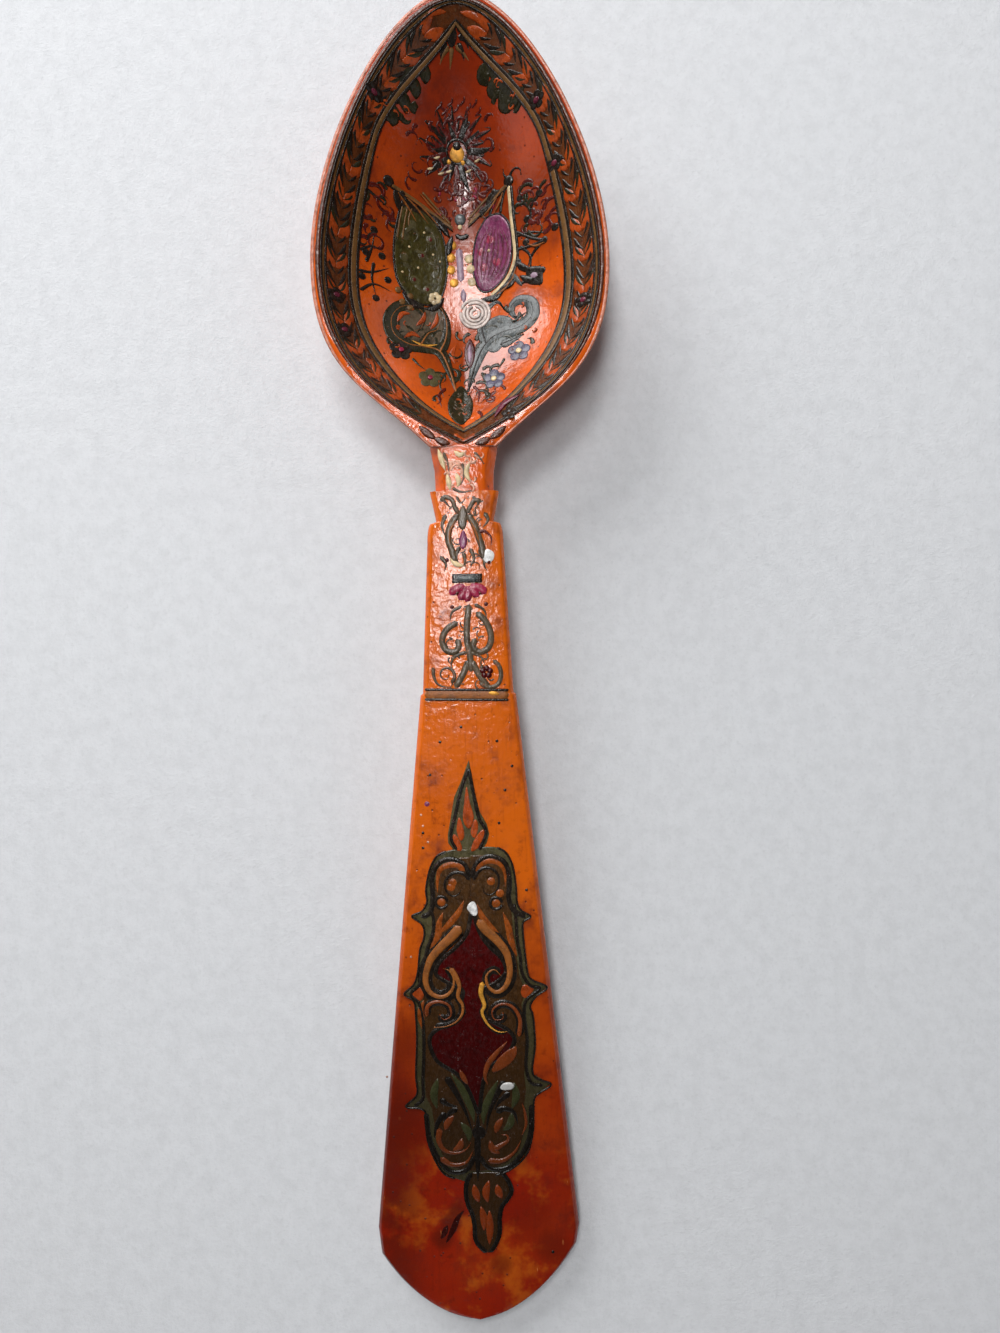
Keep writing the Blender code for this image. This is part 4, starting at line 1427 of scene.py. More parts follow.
@dataclass
class Border:
    """The ornamental border inside the rim, with its lines, chevrons and small flowers."""

    shape: BowlShape = BOWL
    end_share: float = 0.55
    arch_run: float = 17.0
    arch_depth: float = 4.5
    pitch: float = 5.0
    first: float = 6.0
    last: float = 76.0
    run_distance: float = 2.2
    vee_middle: float = 2.1
    vee_edges: tuple[float, float] = (0.85, 3.35)
    flowers_left: Pixels = ((373.5, 92), (336, 295), (344, 330))
    flowers_right: Pixels = ((537, 100), (555, 163), (584, 300))
    bottom_flower: Pixels = ((509, 413.7),)
    rose_leaf: Pixels = ((495, 418), (505, 404), (520, 396))
    flames: Lines = (
        ((366, 358), (373, 366), (380, 384)), ((381, 372), (390, 382), (396, 397)),
        ((396, 385), (405, 393), (411, 405)))
    bottom_points: Lines = (
        ((455, 424), (464.6, 430), (475, 424)), ((454, 434), (464.6, 440.5), (476, 434)))
    root_marks: Lines = (
        ((419, 426), (427, 433), (436, 439)), ((434, 438), (441, 441), (450, 444)),
        ((506, 426), (498, 433), (489, 439)), ((491, 438), (484, 441), (475, 444)))
    tip_leaves: Lines = (((425, 22), (433, 12), (446, 12)), ((482, 25), (473.5, 16), (460, 12)))

    def line(self, distance: float) -> np.ndarray:
        """The right half of a line that runs a distance inside the rim, pointed at the tip.

        Args:
            distance: how far inside the rim it runs.

        Returns:
            Points in the plan, one to a row.
        """
        line = self.shape.inset(self.shape.hollow(), distance, distance * self.end_share)
        drop = line[0, 1] - line[:, 1]
        straight = drop * np.interp(self.arch_run, drop, line[:, 0]) / self.arch_run
        near = np.clip(1.0 - drop / self.arch_run, 0.0, 1.0)
        line[:, 0] += near * np.clip(distance / self.arch_depth, 0.0, 1.0) * (straight - line[:, 0])
        return line

    def band(self, layer: Painted, start: float, end: float, crown: float = 0.12) -> Painted:
        """Lay an even band between two distances from the rim, all round the bowl.

        Args:
            layer: the layer that it is laid in.
            start: its outer distance.
            end: its inner distance.
            crown: how high it stands.

        Returns:
            The layer.
        """
        across = np.array([0.0, 0.08, 0.25, 0.5, 0.75, 0.92, 1.0])
        rings = [mirrored(self.line(start + share * (end - start))) for share in across]
        return layer.loops(rings, crown * np.sqrt(1 - (2 * np.abs(across - 0.5)) ** 6))

    def at(self, side: Side, run: float, distance: float) -> tuple[float, float]:
        """A place on the border by its run from the tip and its distance from the rim.

        Args:
            side: the side of the spoon.
            run: its run from the tip.
            distance: its distance from the rim.

        Returns:
            X and Y.
        """
        middle = self.line(self.run_distance)
        runs = np.concatenate([[0.0], np.cumsum(np.linalg.norm(np.diff(middle, axis=0), axis=1))])
        index = np.interp(run, runs, np.arange(len(runs)))
        line = self.line(distance)
        x, y = (np.interp(index, np.arange(len(line)), line[:, k]) for k in range(2))
        return side.value * float(x), float(y)

    def chevrons(self, layer: Painted, shift: float, width: float, reach: float) -> Painted:
        """Rows of V's that point to the handle, down both sides.

        Args:
            layer: the layer that they are laid in.
            shift: run from the row's start to the first V.
            width: width of their strokes.
            reach: length of each V along the border.

        Returns:
            The layer.
        """
        for side in Side:
            hand = np.random.default_rng(7 if side is Side.LEFT else 8)
            for run in np.arange(self.first + shift, self.last, self.pitch):
                run += hand.uniform(-0.35, 0.35)
                for edge in self.vee_edges:
                    out = edge - self.vee_middle
                    start = self.at(side, run - reach, edge)
                    bend = self.at(side, run - 0.35 * reach, self.vee_middle + 0.62 * out)
                    end = self.at(side, run + 0.1, self.vee_middle + 0.05 * out)
                    layer.stroke(np.array([start, bend, end]), width=width, tip=Tip.POINTED, crown=0.14)
        return layer

    def build(self) -> None:
        """Lay the border's bands, lines, chevrons, leaves and flowers."""
        ground = Painted("border_ground", BORDER_OLIVE, self.shape)
        self.band(ground, start=0.35, end=4.0).build("olive_paint", "border_band")
        gold = Painted("border_inner_gold", DULL_GOLD, self.shape, level=3)
        self.band(gold, start=4.10, end=4.90, crown=0.14).build("gilding", "border_gilt_line")
        outer_gold = Painted("border_outer_gold", DULL_GOLD, self.shape, level=1.6)
        self.band(outer_gold, start=0.12, end=0.52, crown=0.12).build("gilding")
        lines = Painted("border_dark_lines", DARK, self.shape, level=3.4)
        for start, end in ((-0.10, 0.18), (0.50, 0.78), (3.70, 4.15), (4.85, 5.28)):
            self.band(lines, start=start, end=end, crown=0.10)
        lines.build("dark_paint")
        flame = Painted("border_flame_chevrons", FLAME, self.shape, level=2.4)
        self.chevrons(flame, shift=0.0, width=1.35, reach=3.0)
        flame.strokes(self.flames, width=0.9, tip=Tip.TAIL).strokes(self.bottom_points, width=0.6)
        flame.strokes(self.tip_leaves, width=0.8, tip=Tip.POINTED).build("orange_lacquer")
        dark = Painted("border_dark_chevrons", DARK, self.shape, level=2.2)
        self.chevrons(dark, shift=0.20 * self.pitch, width=0.38, reach=3.0)
        self.chevrons(dark, shift=0.58 * self.pitch, width=0.5, reach=2.6).build("dark_paint")
        olive = Painted("border_leaf_chevrons", SHADE_OLIVE, self.shape, level=2.6)
        self.chevrons(olive, shift=0.80 * self.pitch, width=0.6, reach=2.2).build("olive_paint")
        flower = Painted("border_flowers", DARK, self.shape, level=3.4)
        flower.blossoms(self.flowers_left + self.flowers_right + self.bottom_flower, radius=1.25)
        flower.build("dark_paint")
        hearts = Painted("border_flower_hearts", PLUM, self.shape, level=5)
        hearts.dots(self.flowers_left + self.flowers_right, radius=0.45)
        hearts.strokes((self.rose_leaf,), width=0.8, tip=Tip.POINTED).build("rose_paint")
        marks = Painted("rim_root_marks", RIM_BROWN, RIM, level=1.6)
        marks.strokes(self.root_marks, width=1.1, tip=Tip.POINTED).build("olive_paint")
        self.rim()

    def rim(self) -> None:
        """Paint the rim: a dark line, and a worn edge outside it that is partly a painted highlight."""
        outer, hollow = self.shape.outer(), self.shape.hollow()
        gap = np.linalg.norm(outer - hollow, axis=1)[:, None]
        narrow = np.minimum(1.0, self.shape.wall / gap)
        crown = 0.10 * np.array([0.0, 0.8, 1.0, 0.8, 0.0])
        for name, finish, start, end, slot in (
                ("rim_dark_line", RIM_BROWN, 0.46, 0.97, "olive_paint"),
                ("rim_worn_highlit_edge", WORN_HIGHLIT, 0.01, 0.42, "red_lacquer")):
            rings = []
            for t in np.linspace(start, end, len(crown)):
                share = t * narrow if name == "rim_worn_highlit_edge" else 1 - (1 - t) * narrow
                rings.append(mirrored(outer * (1 - share) + hollow * share))
            Painted(name, finish, RIM).loops(rings, crown).build(slot)


@dataclass
class Sun:
    """The sun in the upper part of the bowl, with its small petals and its gilt heart."""

    centre: Pixels = ((457, 152),)
    rays: int = 30
    long_ray: float = 6.3
    short_ray: float = 4.6
    waist: float = 1.6
    petals: Pixels = ((430, 169), (441, 174), (468.7, 171.5), (477.4, 161), (449, 172), (437, 158))
    dashes: Pixels = (
        (439, 106), (444, 112), (450, 103), (456, 109), (462, 102), (468, 108), (474, 104), (478, 112),
        (447, 118), (465, 117))
    bloom: Box = (436.0, 188.0, 492.0, 217.0)
    halo: Box = (410.0, 112.0, 500.0, 190.0)
    bright: Pixels = ((456, 160), (463, 163), (449, 162))

    def build(self) -> None:
        """Lay rays, petals and heart."""
        middle = VIEW.place(self.centre, BOWL)[0]
        rays = Painted("sun_ray_strokes", CRIMSON, BOWL)
        dark = Painted("sun_dark_rays", DARK, BOWL, level=1.3)
        for k in range(self.rays):
            turn = 2 * math.pi * k / self.rays
            reach = self.long_ray if k % 2 == 0 else self.short_ray
            way = np.array([math.cos(turn), math.sin(turn)])
            aside = np.array([-way[1], way[0]]) * (0.5 if k % 3 else -0.4)
            line = np.array([middle + self.waist * way, middle + 0.55 * reach * way + aside * 0.6,
                             middle + reach * way])
            (rays if k % 3 else dark).stroke(line, width=1.6, tip=Tip.TAIL, crown=0.15)
            hook = line[2] + aside * 1.8 - 0.8 * way
            dark.stroke(np.array([line[1], line[2], hook]), width=0.5, tip=Tip.TAIL, crown=0.12)
        for centre in VIEW.place(self.dashes, BOWL):
            rays.stroke(np.array([centre - (0.5, 0.5), centre + (0.3, 0.1), centre + (0.4, 0.7)]),
                        width=0.35)
        rays.build("maroon_paint", "sun_rays")
        dark.stroke(spiral(middle, start=1.75, end=1.75, turn_from=0, turn_to=350), width=0.4)
        dark.build("dark_paint")
        heart = Painted("sun_gilt_heart", GOLD, BOWL, level=2)
        heart.dot(middle - (0.0, 0.35), radius=1.25, crown=0.22).dots(self.bright, radius=0.4)
        heart.build("gilding", "sun_disc")
        black = Painted("sun_black_heart", DARK, BOWL, level=3.2).dot(middle + (0.0, 0.75), radius=0.7)
        black.build("dark_paint")
        pale = Painted("sun_pale_petals", CREAM, BOWL, level=3)
        for centre in VIEW.place(self.petals, BOWL):
            pale.stroke(np.array([centre - (0.55, 0.1), centre, centre + (0.5, 0.25)]), width=0.4,
                        tip=Tip.POINTED)
        pale.build("cream_paint")
        bloom = Painted("sun_foot_bloom", CRIMSON, BOWL, level=1.5)
        bloom.tangle(self.bloom, count=30, radius=0.9, width=0.7, seed=5)
        bloom.tangle(self.halo, count=34, radius=1.2, width=0.6, seed=15).build("maroon_paint")
        buds = Painted("sun_foot_buds", ROSE, BOWL, level=2.5)
        buds.tangle(self.bloom, count=9, radius=0.4, width=0.5, seed=6).build("rose_paint")


@dataclass
class Trophy:
    """The two lobes under crossed staffs, with beads between them."""

    green: Pixels = (
        (402, 206), (414, 206), (428, 215), (439, 229), (445, 246), (447, 266), (445, 286), (438, 302),
        (424, 305), (409, 297), (398, 281), (394, 262), (394, 241), (397, 221))
    purple: Pixels = (
        (489, 216), (500, 214), (509, 224), (512, 242), (510.5, 262), (503, 279), (490, 291),
        (480, 290), (474, 276), (473, 258), (476, 239), (482, 225))
    pole: Pixels = (
        (508.6, 185), (510, 200), (511.4, 217), (514, 238), (515, 258), (509.4, 275), (501, 286.5),
        (491, 296))
    left_staff: Pixels = ((390, 184), (402, 192), (418, 203), (434, 215), (453, 229))
    left_thin: Pixels = ((422, 192), (436, 208), (451, 224.5))
    right_staff: Pixels = ((509, 183), (497, 195), (484, 209), (468, 225))
    right_thin: Pixels = ((494, 192), (482, 204), (468, 220))
    left_knob: Pixels = ((388.5, 181),)
    right_knob: Pixels = ((508.5, 181),)
    right_hook: Lines = (
        ((509, 181), (511, 173), (515, 168), (520, 169), (521, 175)),
        ((509, 181), (504, 175), (503, 169)))
    ferrules: Pixels = ((402, 194), (508, 180), (494, 192))
    boss: Pixels = ((460, 220),)
    collar: Pixels = ((460, 227.5),)
    under_boss: Pixels = ((455, 235), (462, 238), (469, 235))
    gilt_beads: Pixels = ((452, 245.5), (451, 258), (451, 270), (454, 283))
    cream_beads: Pixels = ((469, 259), (471, 269), (472, 282))
    lavender: Pixels = ((459, 248), (460, 264), (461, 282))
    peach: Pixels = ((463, 289), (463.5, 296), (464, 303))
    green_marks: Pixels = (
        (412, 225), (422, 256), (404, 257), (430, 240), (436, 275), (414, 280), (405, 236), (427, 290))
    green_lights: Pixels = ((409, 247), (418, 268), (433, 255), (424, 233), (402, 272), (440, 262))
    ring_flower: Pixels = ((435, 299),)
    purple_glare_spots: Pixels = ((484, 268), (481, 252), (490, 240), (497, 262))
    purple_rows: tuple[Triple, ...] = (
        (491, 500, 224), (480, 508, 246), (477, 504, 268), (480, 492, 284))
    purple_dot: Pixels = ((489, 251),)
    fringe: Lines = (
        ((402, 206), (399, 222), (397, 238)), ((407, 208), (404, 224), (402, 240)),
        ((412, 208), (409, 216), (408, 226)))
    banner_lines: Lines = (
        ((404, 196), (400, 212), (396, 228)), ((412, 200), (428, 212), (448, 228)),
        ((420, 204), (436, 222), (447, 236)), ((506, 184), (502, 200), (500, 214)),
        ((500, 192), (490, 204), (480, 218)), ((496, 198), (492, 208), (489, 216)),
        ((516, 232), (532, 238), (545, 240)), ((516, 250), (530, 246), (545, 240)),
        ((452, 238), (446, 250), (448, 270)))
    drapes: Lines = (
        ((394, 188), (397, 200), (400, 212)), ((404, 196), (411, 206), (420, 214)),
        ((500, 190), (492, 196), (486, 208)), ((496, 200), (488, 208), (478, 214)),
        ((430, 214), (440, 224), (450, 238)), ((452, 236), (450, 246), (448, 256)),
        ((516, 262), (524, 268), (532, 270)), ((520, 276), (530, 280), (537, 276)),
        ((499, 290), (510, 284), (516, 276)), ((480, 300), (494, 298), (504, 290)),
        ((402, 292), (412, 304), (424, 309)), ((424, 309), (436, 308), (444, 298)))
    gold_fan: Lines = (
        ((396, 190), (408, 208), (416, 222)), ((399, 190), (416, 208), (428, 224)),
        ((404, 194), (424, 210), (440, 228)), ((420, 194), (434, 210), (446, 222)),
        ((504, 188), (500, 202), (494, 214)), ((501, 190), (492, 206), (482, 218)),
        ((516, 268), (512, 280), (502, 290)), ((514, 276), (506, 288), (492, 298)),
        ((528, 244), (536, 246), (545, 242)))
    green_curls: Lines = (
        ((404, 232), (412, 228), (418, 236), (412, 244)), ((424, 226), (434, 236), (436, 250)),
        ((402, 262), (410, 270), (408, 282)), ((428, 262), (438, 268), (436, 282)),
        ((414, 284), (424, 292), (434, 288)), ((414, 250), (424, 254), (428, 246)))
    foot_dots: Pixels = ((398, 290), (402, 302), (410, 308), (410, 296.5))
    leaf: Pixels = ((511, 272), (516, 278), (522, 286))

    def build(self) -> None:
        """Lay the lobes, the staffs, the pole and the beads."""
        lobe = Painted("green_lobe_paint", GREEN, BOWL).patches((self.green,), crown=0.2, edge=0.8)
        lobe.build("green_paint", "green_lobe")
        lobe = Painted("purple_lobe_paint", PURPLE, BOWL).patches((self.purple,), crown=0.22, edge=0.9)
        lobe.build("purple_paint", "purple_lobe")
        rings = Painted("lobe_dark_edges", DARK, BOWL, level=1.4)
        for lobe_outline in (self.green, self.purple):
            rings.stroke(VIEW.place(lobe_outline + lobe_outline[:2], BOWL), width=0.32)
        rings.strokes(self.banner_lines, width=0.45).build("dark_paint")
        fan = Painted("banner_gold_lines", OCHRE, BOWL, level=3.6)
        fan.strokes(self.gold_fan, width=0.32, tip=Tip.POINTED).build("gilding")
        pole = Painted("curved_pole_paint", CREAM, BOWL, level=2.6).strokes((self.pole,), width=0.55)
        pole.build("gilding", "curved_pole")
        shade = Painted("curved_pole_shade", DARK, BOWL, level=2.2)
        shade.stroke(VIEW.place(self.pole, BOWL) + (0.38, -0.1), width=0.5).build("dark_paint")
        for name, staff, thin, knob in (
                ("left", self.left_staff, self.left_thin, self.left_knob),
                ("right", self.right_staff, self.right_thin, self.right_knob)):
            shaft = Painted(f"{name}_staff_paint", DULL_GOLD, BOWL, level=2.4)
            shaft.strokes((staff,), width=0.55).strokes((thin,), width=0.35)
            shaft.build("dark_paint", f"{name}_staff")
            ball = Painted(f"{name}_finial_knob", DARK, BOWL, level=2)
            ball.dots(knob, radius=0.85, crown=0.3)
            if name == "right":
                ball.strokes(self.right_hook, width=0.5, tip=Tip.TAIL)
            ball.build("dark_paint", f"{name}_finial")
        dark = Painted("staff_ferrules", DARK, BOWL, level=3.4).dots(self.ferrules, radius=0.5)
        dark.strokes((self.under_boss,), width=0.7).strokes(self.drapes, width=1.0, tip=Tip.POINTED)
        for staff in (self.left_staff, self.right_staff):
            dark.stroke(VIEW.place(staff, BOWL) + (0.0, -0.42), width=0.22)
        dark.build("dark_paint")
        boss = Painted("staff_boss", GREY, BOWL, level=3).dots(self.boss, radius=0.95, crown=0.3)
        boss.strokes((self.leaf,), width=0.7, tip=Tip.POINTED).build("green_paint")
        Painted("staff_collar", CREAM, BOWL, level=4).dots(self.collar, radius=0.42).build("cream_paint")
        for finish, slot, pixels, name in ((GOLD, "gilding", self.gilt_beads, "gilt_bead"),
                                           (CREAM, "cream_paint", self.cream_beads, "cream_bead")):
            for k, bead in enumerate(pixels, start=1):
                drop = Painted(f"{name}_{k}_paint", finish, BOWL).dots((bead,), radius=0.8, crown=0.28)
                drop.build(slot, f"{name}_{k}")
        strip = Painted("bead_strip", LAVENDER, BOWL, level=0.9).strokes((self.lavender,), width=1.1)
        strip.strokes((self.peach,), width=1.0, tip=Tip.POINTED).build("cream_paint")
        marks = Painted("green_lobe_marks", OLIVE, BOWL, level=3.2)
        marks.dots(self.green_marks, radius=0.75, crown=0.14)
        marks.strokes(self.green_curls, width=0.8, tip=Tip.TAIL).build("olive_paint")
        buds = Painted("green_lobe_buds", CRIMSON, BOWL, level=4)
        buds.dots(self.green_marks[1::2], radius=0.42, crown=0.12).build("maroon_paint")
        lights = Painted("green_lobe_lights", CREAM, BOWL, level=4)
        lights.dots(self.green_lights, radius=0.22, crown=0.12).dots(self.purple_dot, radius=0.28)
        lights.blossoms(self.ring_flower, radius=1.15, petals=6).build("cream_paint")
        feathers = Painted("purple_lobe_feathers", PLUM, BOWL, level=3)
        for share in np.linspace(0.0, 1.0, 7):
            line = tuple((left + share * (right - left), row) for left, right, row in self.purple_rows)
            feathers.strokes((line,), width=0.35, tip=Tip.POINTED)
        feathers.build("rose_paint")
        # Rose dots on the left of the purple lobe are painted glare.
        glare_dots = Painted("purple_lobe_painted_glare", ROSE, BOWL, level=3.4)
        glare_dots.dots(self.purple_glare_spots, radius=0.8, crown=0.1).build("rose_paint")
        fringe = Painted("staff_fringes", DULL_GOLD, BOWL, level=3.4).strokes(self.fringe, width=0.3)
        fringe.dots(self.foot_dots, radius=0.55).build("gilding")


@dataclass
class Sprays:
    """Scrolls, flowers, bud, palmette and pendant in the bowl."""

    left_curl: Pixels = ((398, 327),)
    left_scroll: Lines = (
        ((456, 392), (450, 372), (440, 352), (424, 347), (408, 344), (394, 334), (391, 319), (399, 308),
        (413, 306), (423, 314), (421, 328), (409, 331), (404, 321)),
        ((440, 352), (446, 338), (446, 320), (438, 306), (427, 312)),
        ((420, 346), (428, 334), (437, 330), (440, 322)))
    right_scroll: Lines = (
        ((468, 392), (474, 370), (482, 350), (492, 338), (504, 332), (520, 327), (532, 316), (531, 303),
        (519, 300), (511, 308), (515, 317), (523, 315)),
        ((486, 344), (482, 328), (485, 312), (497, 302), (505, 310)),
        ((500, 345), (512, 340), (524, 334)))
    right_leaf: Pixels = (
        (487, 322), (500, 315), (513, 320), (508, 338), (497, 352), (487, 350), (484, 336))
    left_leaf: Pixels = (
        (402, 305), (414, 303), (426, 307), (438, 305), (445, 315), (445, 332), (438, 345), (424, 349),
        (408, 346), (395, 338), (388, 325), (391, 312))
    leaf_eyes: Lines = (
        ((397, 322), (402, 314), (410, 314)), ((416, 326), (423, 320), (425, 312)),
        ((430, 330), (436, 322), (437, 313)), ((404, 338), (412, 334), (420, 338)))
    gold_band: Pixels = ((410, 340), (424, 346), (438, 345))
    outer_left: Pixels = ((401, 350),)
    inner_left: Pixels = ((430, 378),)
    outer_right: Pixels = ((519, 351),)
    inner_right: Pixels = ((494, 379),)
    bud: Pixels = ((470, 339), (475, 348), (475, 360), (470, 369), (465, 360), (465, 348))
    bud_heart: Pixels = ((470, 345), (470, 355), (470, 364))
    bud_leaf: Pixels = ((456, 345), (452, 354), (455, 364))
    rosette: Pixels = ((475, 314),)
    palmette: Pixels = (
        (461, 386), (468, 392), (473, 402), (472, 414), (466, 422), (461, 425), (455, 422), (449, 414),
        (448, 402), (454, 392))
    palmette_arcs: Lines = (((446, 388), (439, 396), (442, 408)), ((473, 386), (479, 392), (478, 404)))
    pendant: Pixels = ((452, 24), (457, 34), (455, 44), (452, 48), (448, 44), (446, 34))
    pendant_drops: Lines = (
        ((449, 46), (443, 55), (440, 65)), ((452, 46), (451, 58), (450, 70)),
        ((455, 45), (462, 52), (469, 61)))
    pendant_arms: Lines = (
        ((446, 36), (439, 39), (435, 50)), ((458, 36), (465, 39), (469, 50)),
        ((447, 43), (442, 51), (441, 62)), ((457, 43), (462, 51), (464, 61)))
    corner_leaves: Lines = (
        ((424, 58), (405, 80), (386, 108)), ((415, 60), (424, 72), (425, 84)),
        ((404, 75), (414, 86), (416, 99)), ((394, 90), (404, 101), (405, 113)),
        ((384, 105), (392, 115), (392, 126)), ((482, 57), (500, 78), (519, 108)),
        ((487, 62), (483, 74), (487, 86)), ((498, 76), (493, 88), (497, 99)),
        ((509, 92), (504, 102), (510, 112)))
    small_arcs: Lines = (
        ((412, 358), (420, 366), (426, 370)), ((505, 358), (500, 366), (497, 371)),
        ((446, 372), (440, 384), (444, 398)), ((482, 372), (488, 392), (480, 404)))
    left_tangle: Box = (358.0, 186.0, 394.0, 244.0)
    right_tangle: Box = (518.0, 184.0, 558.0, 232.0)
    low_tangle: Box = (438.0, 330.0, 502.0, 400.0)
    foot_tangle: Box = (420.0, 372.0, 500.0, 420.0)
    left_leaves: Box = (392.0, 306.0, 442.0, 346.0)
    right_leaves: Box = (486.0, 302.0, 536.0, 344.0)
    corner_left: Box = (384.0, 84.0, 410.0, 116.0)
    corner_right: Box = (494.0, 78.0, 520.0, 110.0)
    palmette_box: Box = (453.0, 392.0, 470.0, 418.0)
    left_sprig: Lines = (
        ((366, 188), (380, 200), (389, 209)), ((366, 262), (372, 247), (374, 233)),
        ((360, 250), (372, 246), (384, 252)), ((358, 270), (372, 272), (390, 268)),
        ((360, 290), (374, 284), (392, 292)), ((374, 262), (372, 278), (376, 296)),
        ((366, 240), (372, 233), (380, 238)))
    right_sprig: Lines = (
        ((520, 200), (530, 210), (527, 226)), ((538, 195), (531, 208), (532, 228)),
        ((516, 236), (532, 232), (548, 233)), ((520, 246), (530, 256), (526, 272)),
        ((540, 244), (531, 258), (532, 280)), ((518, 268), (530, 270), (543, 264)),
        ((520, 284), (530, 280), (541, 286)))
    casket: Pixels = (
        (526, 268), (534, 266), (542, 267), (543, 276), (542, 284), (534, 285), (527, 283), (526, 275))
    casket_light: Pixels = ((531, 275), (538, 276))
    sprig_buds: Pixels = (
        (374, 230), (366, 252), (382, 256), (362, 276), (388, 280), (376, 298), (520, 198), (539, 193),
        (526, 242), (544, 240), (518, 262), (542, 270), (527, 219), (555, 227))

    def build(self) -> None:
        """Lay the sprays in the lower bowl, and the pendant and corners in the upper."""
        for name, lines, finish, vein_finish in (
                ("left", self.left_scroll, SHADE_OLIVE, OCHRE),
                ("right", self.right_scroll, GREY, DARK)):
            scroll = Painted(f"{name}_scroll_paint", finish, BOWL, level=1.4)
            scroll.strokes(lines[:1], width=2.3, tip=Tip.POINTED, crown=0.18)
            scroll.strokes(lines[1:], width=1.9, tip=Tip.TAIL, crown=0.18)
            scroll.build("olive_paint", f"{name}_scroll")
            veins = Painted(f"{name}_scroll_veins", vein_finish, BOWL, level=3)
            veins.strokes(lines, width=0.32, tip=Tip.TAIL, crown=0.12).build("dark_paint")
        second = Painted("second_curls", FLAME, BOWL, level=1.2).dots(self.left_curl, radius=0.5)
        second.strokes((self.bud_leaf,), width=0.8, tip=Tip.POINTED).build("orange_lacquer")
        gold = Painted("scroll_gold", GOLD, BOWL, level=2)
        gold.strokes((self.gold_band,), width=0.6, tip=Tip.POINTED).build("gilding")
        grey = Painted("scroll_leaf", GREY, BOWL, level=1.1)
        grey.patches((self.right_leaf,), crown=0.14, edge=0.6).build("green_paint")
        dusky = Painted("left_scroll_leaf", WORN_OLIVE, BOWL, level=1.1)
        dusky.patches((self.left_leaf,), crown=0.14, edge=0.6).build("olive_paint")
        for name, pixels, finish in (("left_outer", self.outer_left, DARK),
                                     ("left_inner", self.inner_left, OLIVE),
                                     ("right_outer", self.outer_right, SLATE),
                                     ("right_inner", self.inner_right, SLATE)):
            flower = Painted(f"{name}_flower_paint", finish, BOWL, level=1.6)
            flower.blossoms(pixels, radius=1.9).build("dark_paint", f"{name}_flower")
        hearts = Painted("flower_hearts", CREAM, BOWL, level=4)
        hearts.dots(self.outer_right + self.inner_right, radius=0.5).build("cream_paint")
        rosette = Painted("pearl_rosette", PEARL, BOWL, level=3.2)
        ring = VIEW.place(self.rosette, BOWL)[0]
        for radius in (0.7, 1.35, 1.95, 2.5):
            turn = 20 + 60 * radius
            circle = spiral(ring, start=radius, end=radius, turn_from=turn, turn_to=turn + 350)
            rosette.stroke(circle, width=0.5)
        rosette.build("cream_paint")
        pink = Painted("pink_hearts", ROSE, BOWL, level=4)
        pink.dots(self.outer_left + self.inner_left, radius=0.45).build("rose_paint")
        bud = Painted("bud_paint", MAROON, BOWL, level=1.6).patches((self.bud,), crown=0.16, edge=0.4)
        bud.build("maroon_paint", "bud")
        heart = Painted("bud_heart", LAVENDER, BOWL, level=3.4)
        heart.strokes((self.bud_heart,), width=0.7, tip=Tip.POINTED).build("cream_paint")
        palmette = Painted("palmette_paint", SHADE_OLIVE, BOWL, level=1.4)
        palmette.patches((self.palmette,), crown=0.18, edge=0.7).build("olive_paint", "palmette")
        arcs = Painted("bowl_red_strokes", CRIMSON, BOWL, level=1.3)
        arcs.strokes(self.palmette_arcs, width=0.6, tip=Tip.TAIL)
        arcs.tangle(self.left_tangle, count=16, radius=1.2, width=0.75, seed=1)
        arcs.tangle(self.right_tangle, count=20, radius=1.2, width=0.8, seed=2)
        arcs.tangle(self.foot_tangle, count=14, radius=1.1, width=0.6, seed=4).build("maroon_paint")
        weeds = Painted("bowl_dark_strokes", SHADE_OLIVE, BOWL, level=1.7)
        for box, count, radius, width, seed in (
                (self.low_tangle, 22, 1.3, 0.7, 3), (self.left_leaves, 14, 1.3, 0.9, 9),
                (self.right_leaves, 14, 1.3, 0.8, 10), (self.left_tangle, 7, 1.1, 0.6, 11),
                (self.right_tangle, 9, 1.1, 0.6, 12), (self.corner_left, 12, 1.2, 1.1, 13),
                (self.corner_right, 12, 1.2, 1.1, 14)):
            weeds.tangle(box, count, radius, width, seed)
        weeds.build("dark_paint")
        eyes = Painted("spray_eyes", FLAME, BOWL, level=3.4)
        eyes.strokes(self.leaf_eyes, width=0.75, tip=Tip.POINTED)
        for k, box in enumerate((self.left_leaves, self.right_leaves, self.corner_left,
                                 self.corner_right, self.palmette_box)):
            eyes.tangle(box, count=5, radius=0.5, width=0.42, seed=20 + k)
        eyes.build("orange_lacquer")
        glints = Painted("palmette_lights", WORN_OLIVE, BOWL, level=3.4)
        glints.tangle(self.palmette_box, count=14, radius=0.55, width=0.35, seed=30)
        glints.build("green_paint")
        twigs = Painted("bowl_twigs", DARK, BOWL, level=1.5)
        twigs.strokes(self.left_sprig + self.right_sprig, width=0.55, tip=Tip.TAIL, crown=0.13)
        twigs.dots(self.sprig_buds, radius=0.6, crown=0.15).patches((self.casket,)).build("dark_paint")
        lid = Painted("casket_light", LAVENDER, BOWL, level=4).strokes((self.casket_light,), width=0.9)
        lid.build("green_paint")
        pendant = Painted("tip_pendant_paint", DARK, BOWL, level=1.4)
        pendant.patches((self.pendant,), crown=0.18, edge=0.5)
        pendant.strokes(self.pendant_arms, width=1.0, tip=Tip.TAIL).build("dark_paint", "tip_pendant")
        drops = Painted("pendant_drops", DULL_GOLD, BOWL, level=1.3)
        drops.strokes(self.pendant_drops, width=0.8, tip=Tip.TAIL).build("gilding")
        corner = Painted("bowl_corner_leaves", SHADE_OLIVE, BOWL, level=1.3)
        corner.strokes(self.corner_leaves, width=2.0, tip=Tip.POINTED)
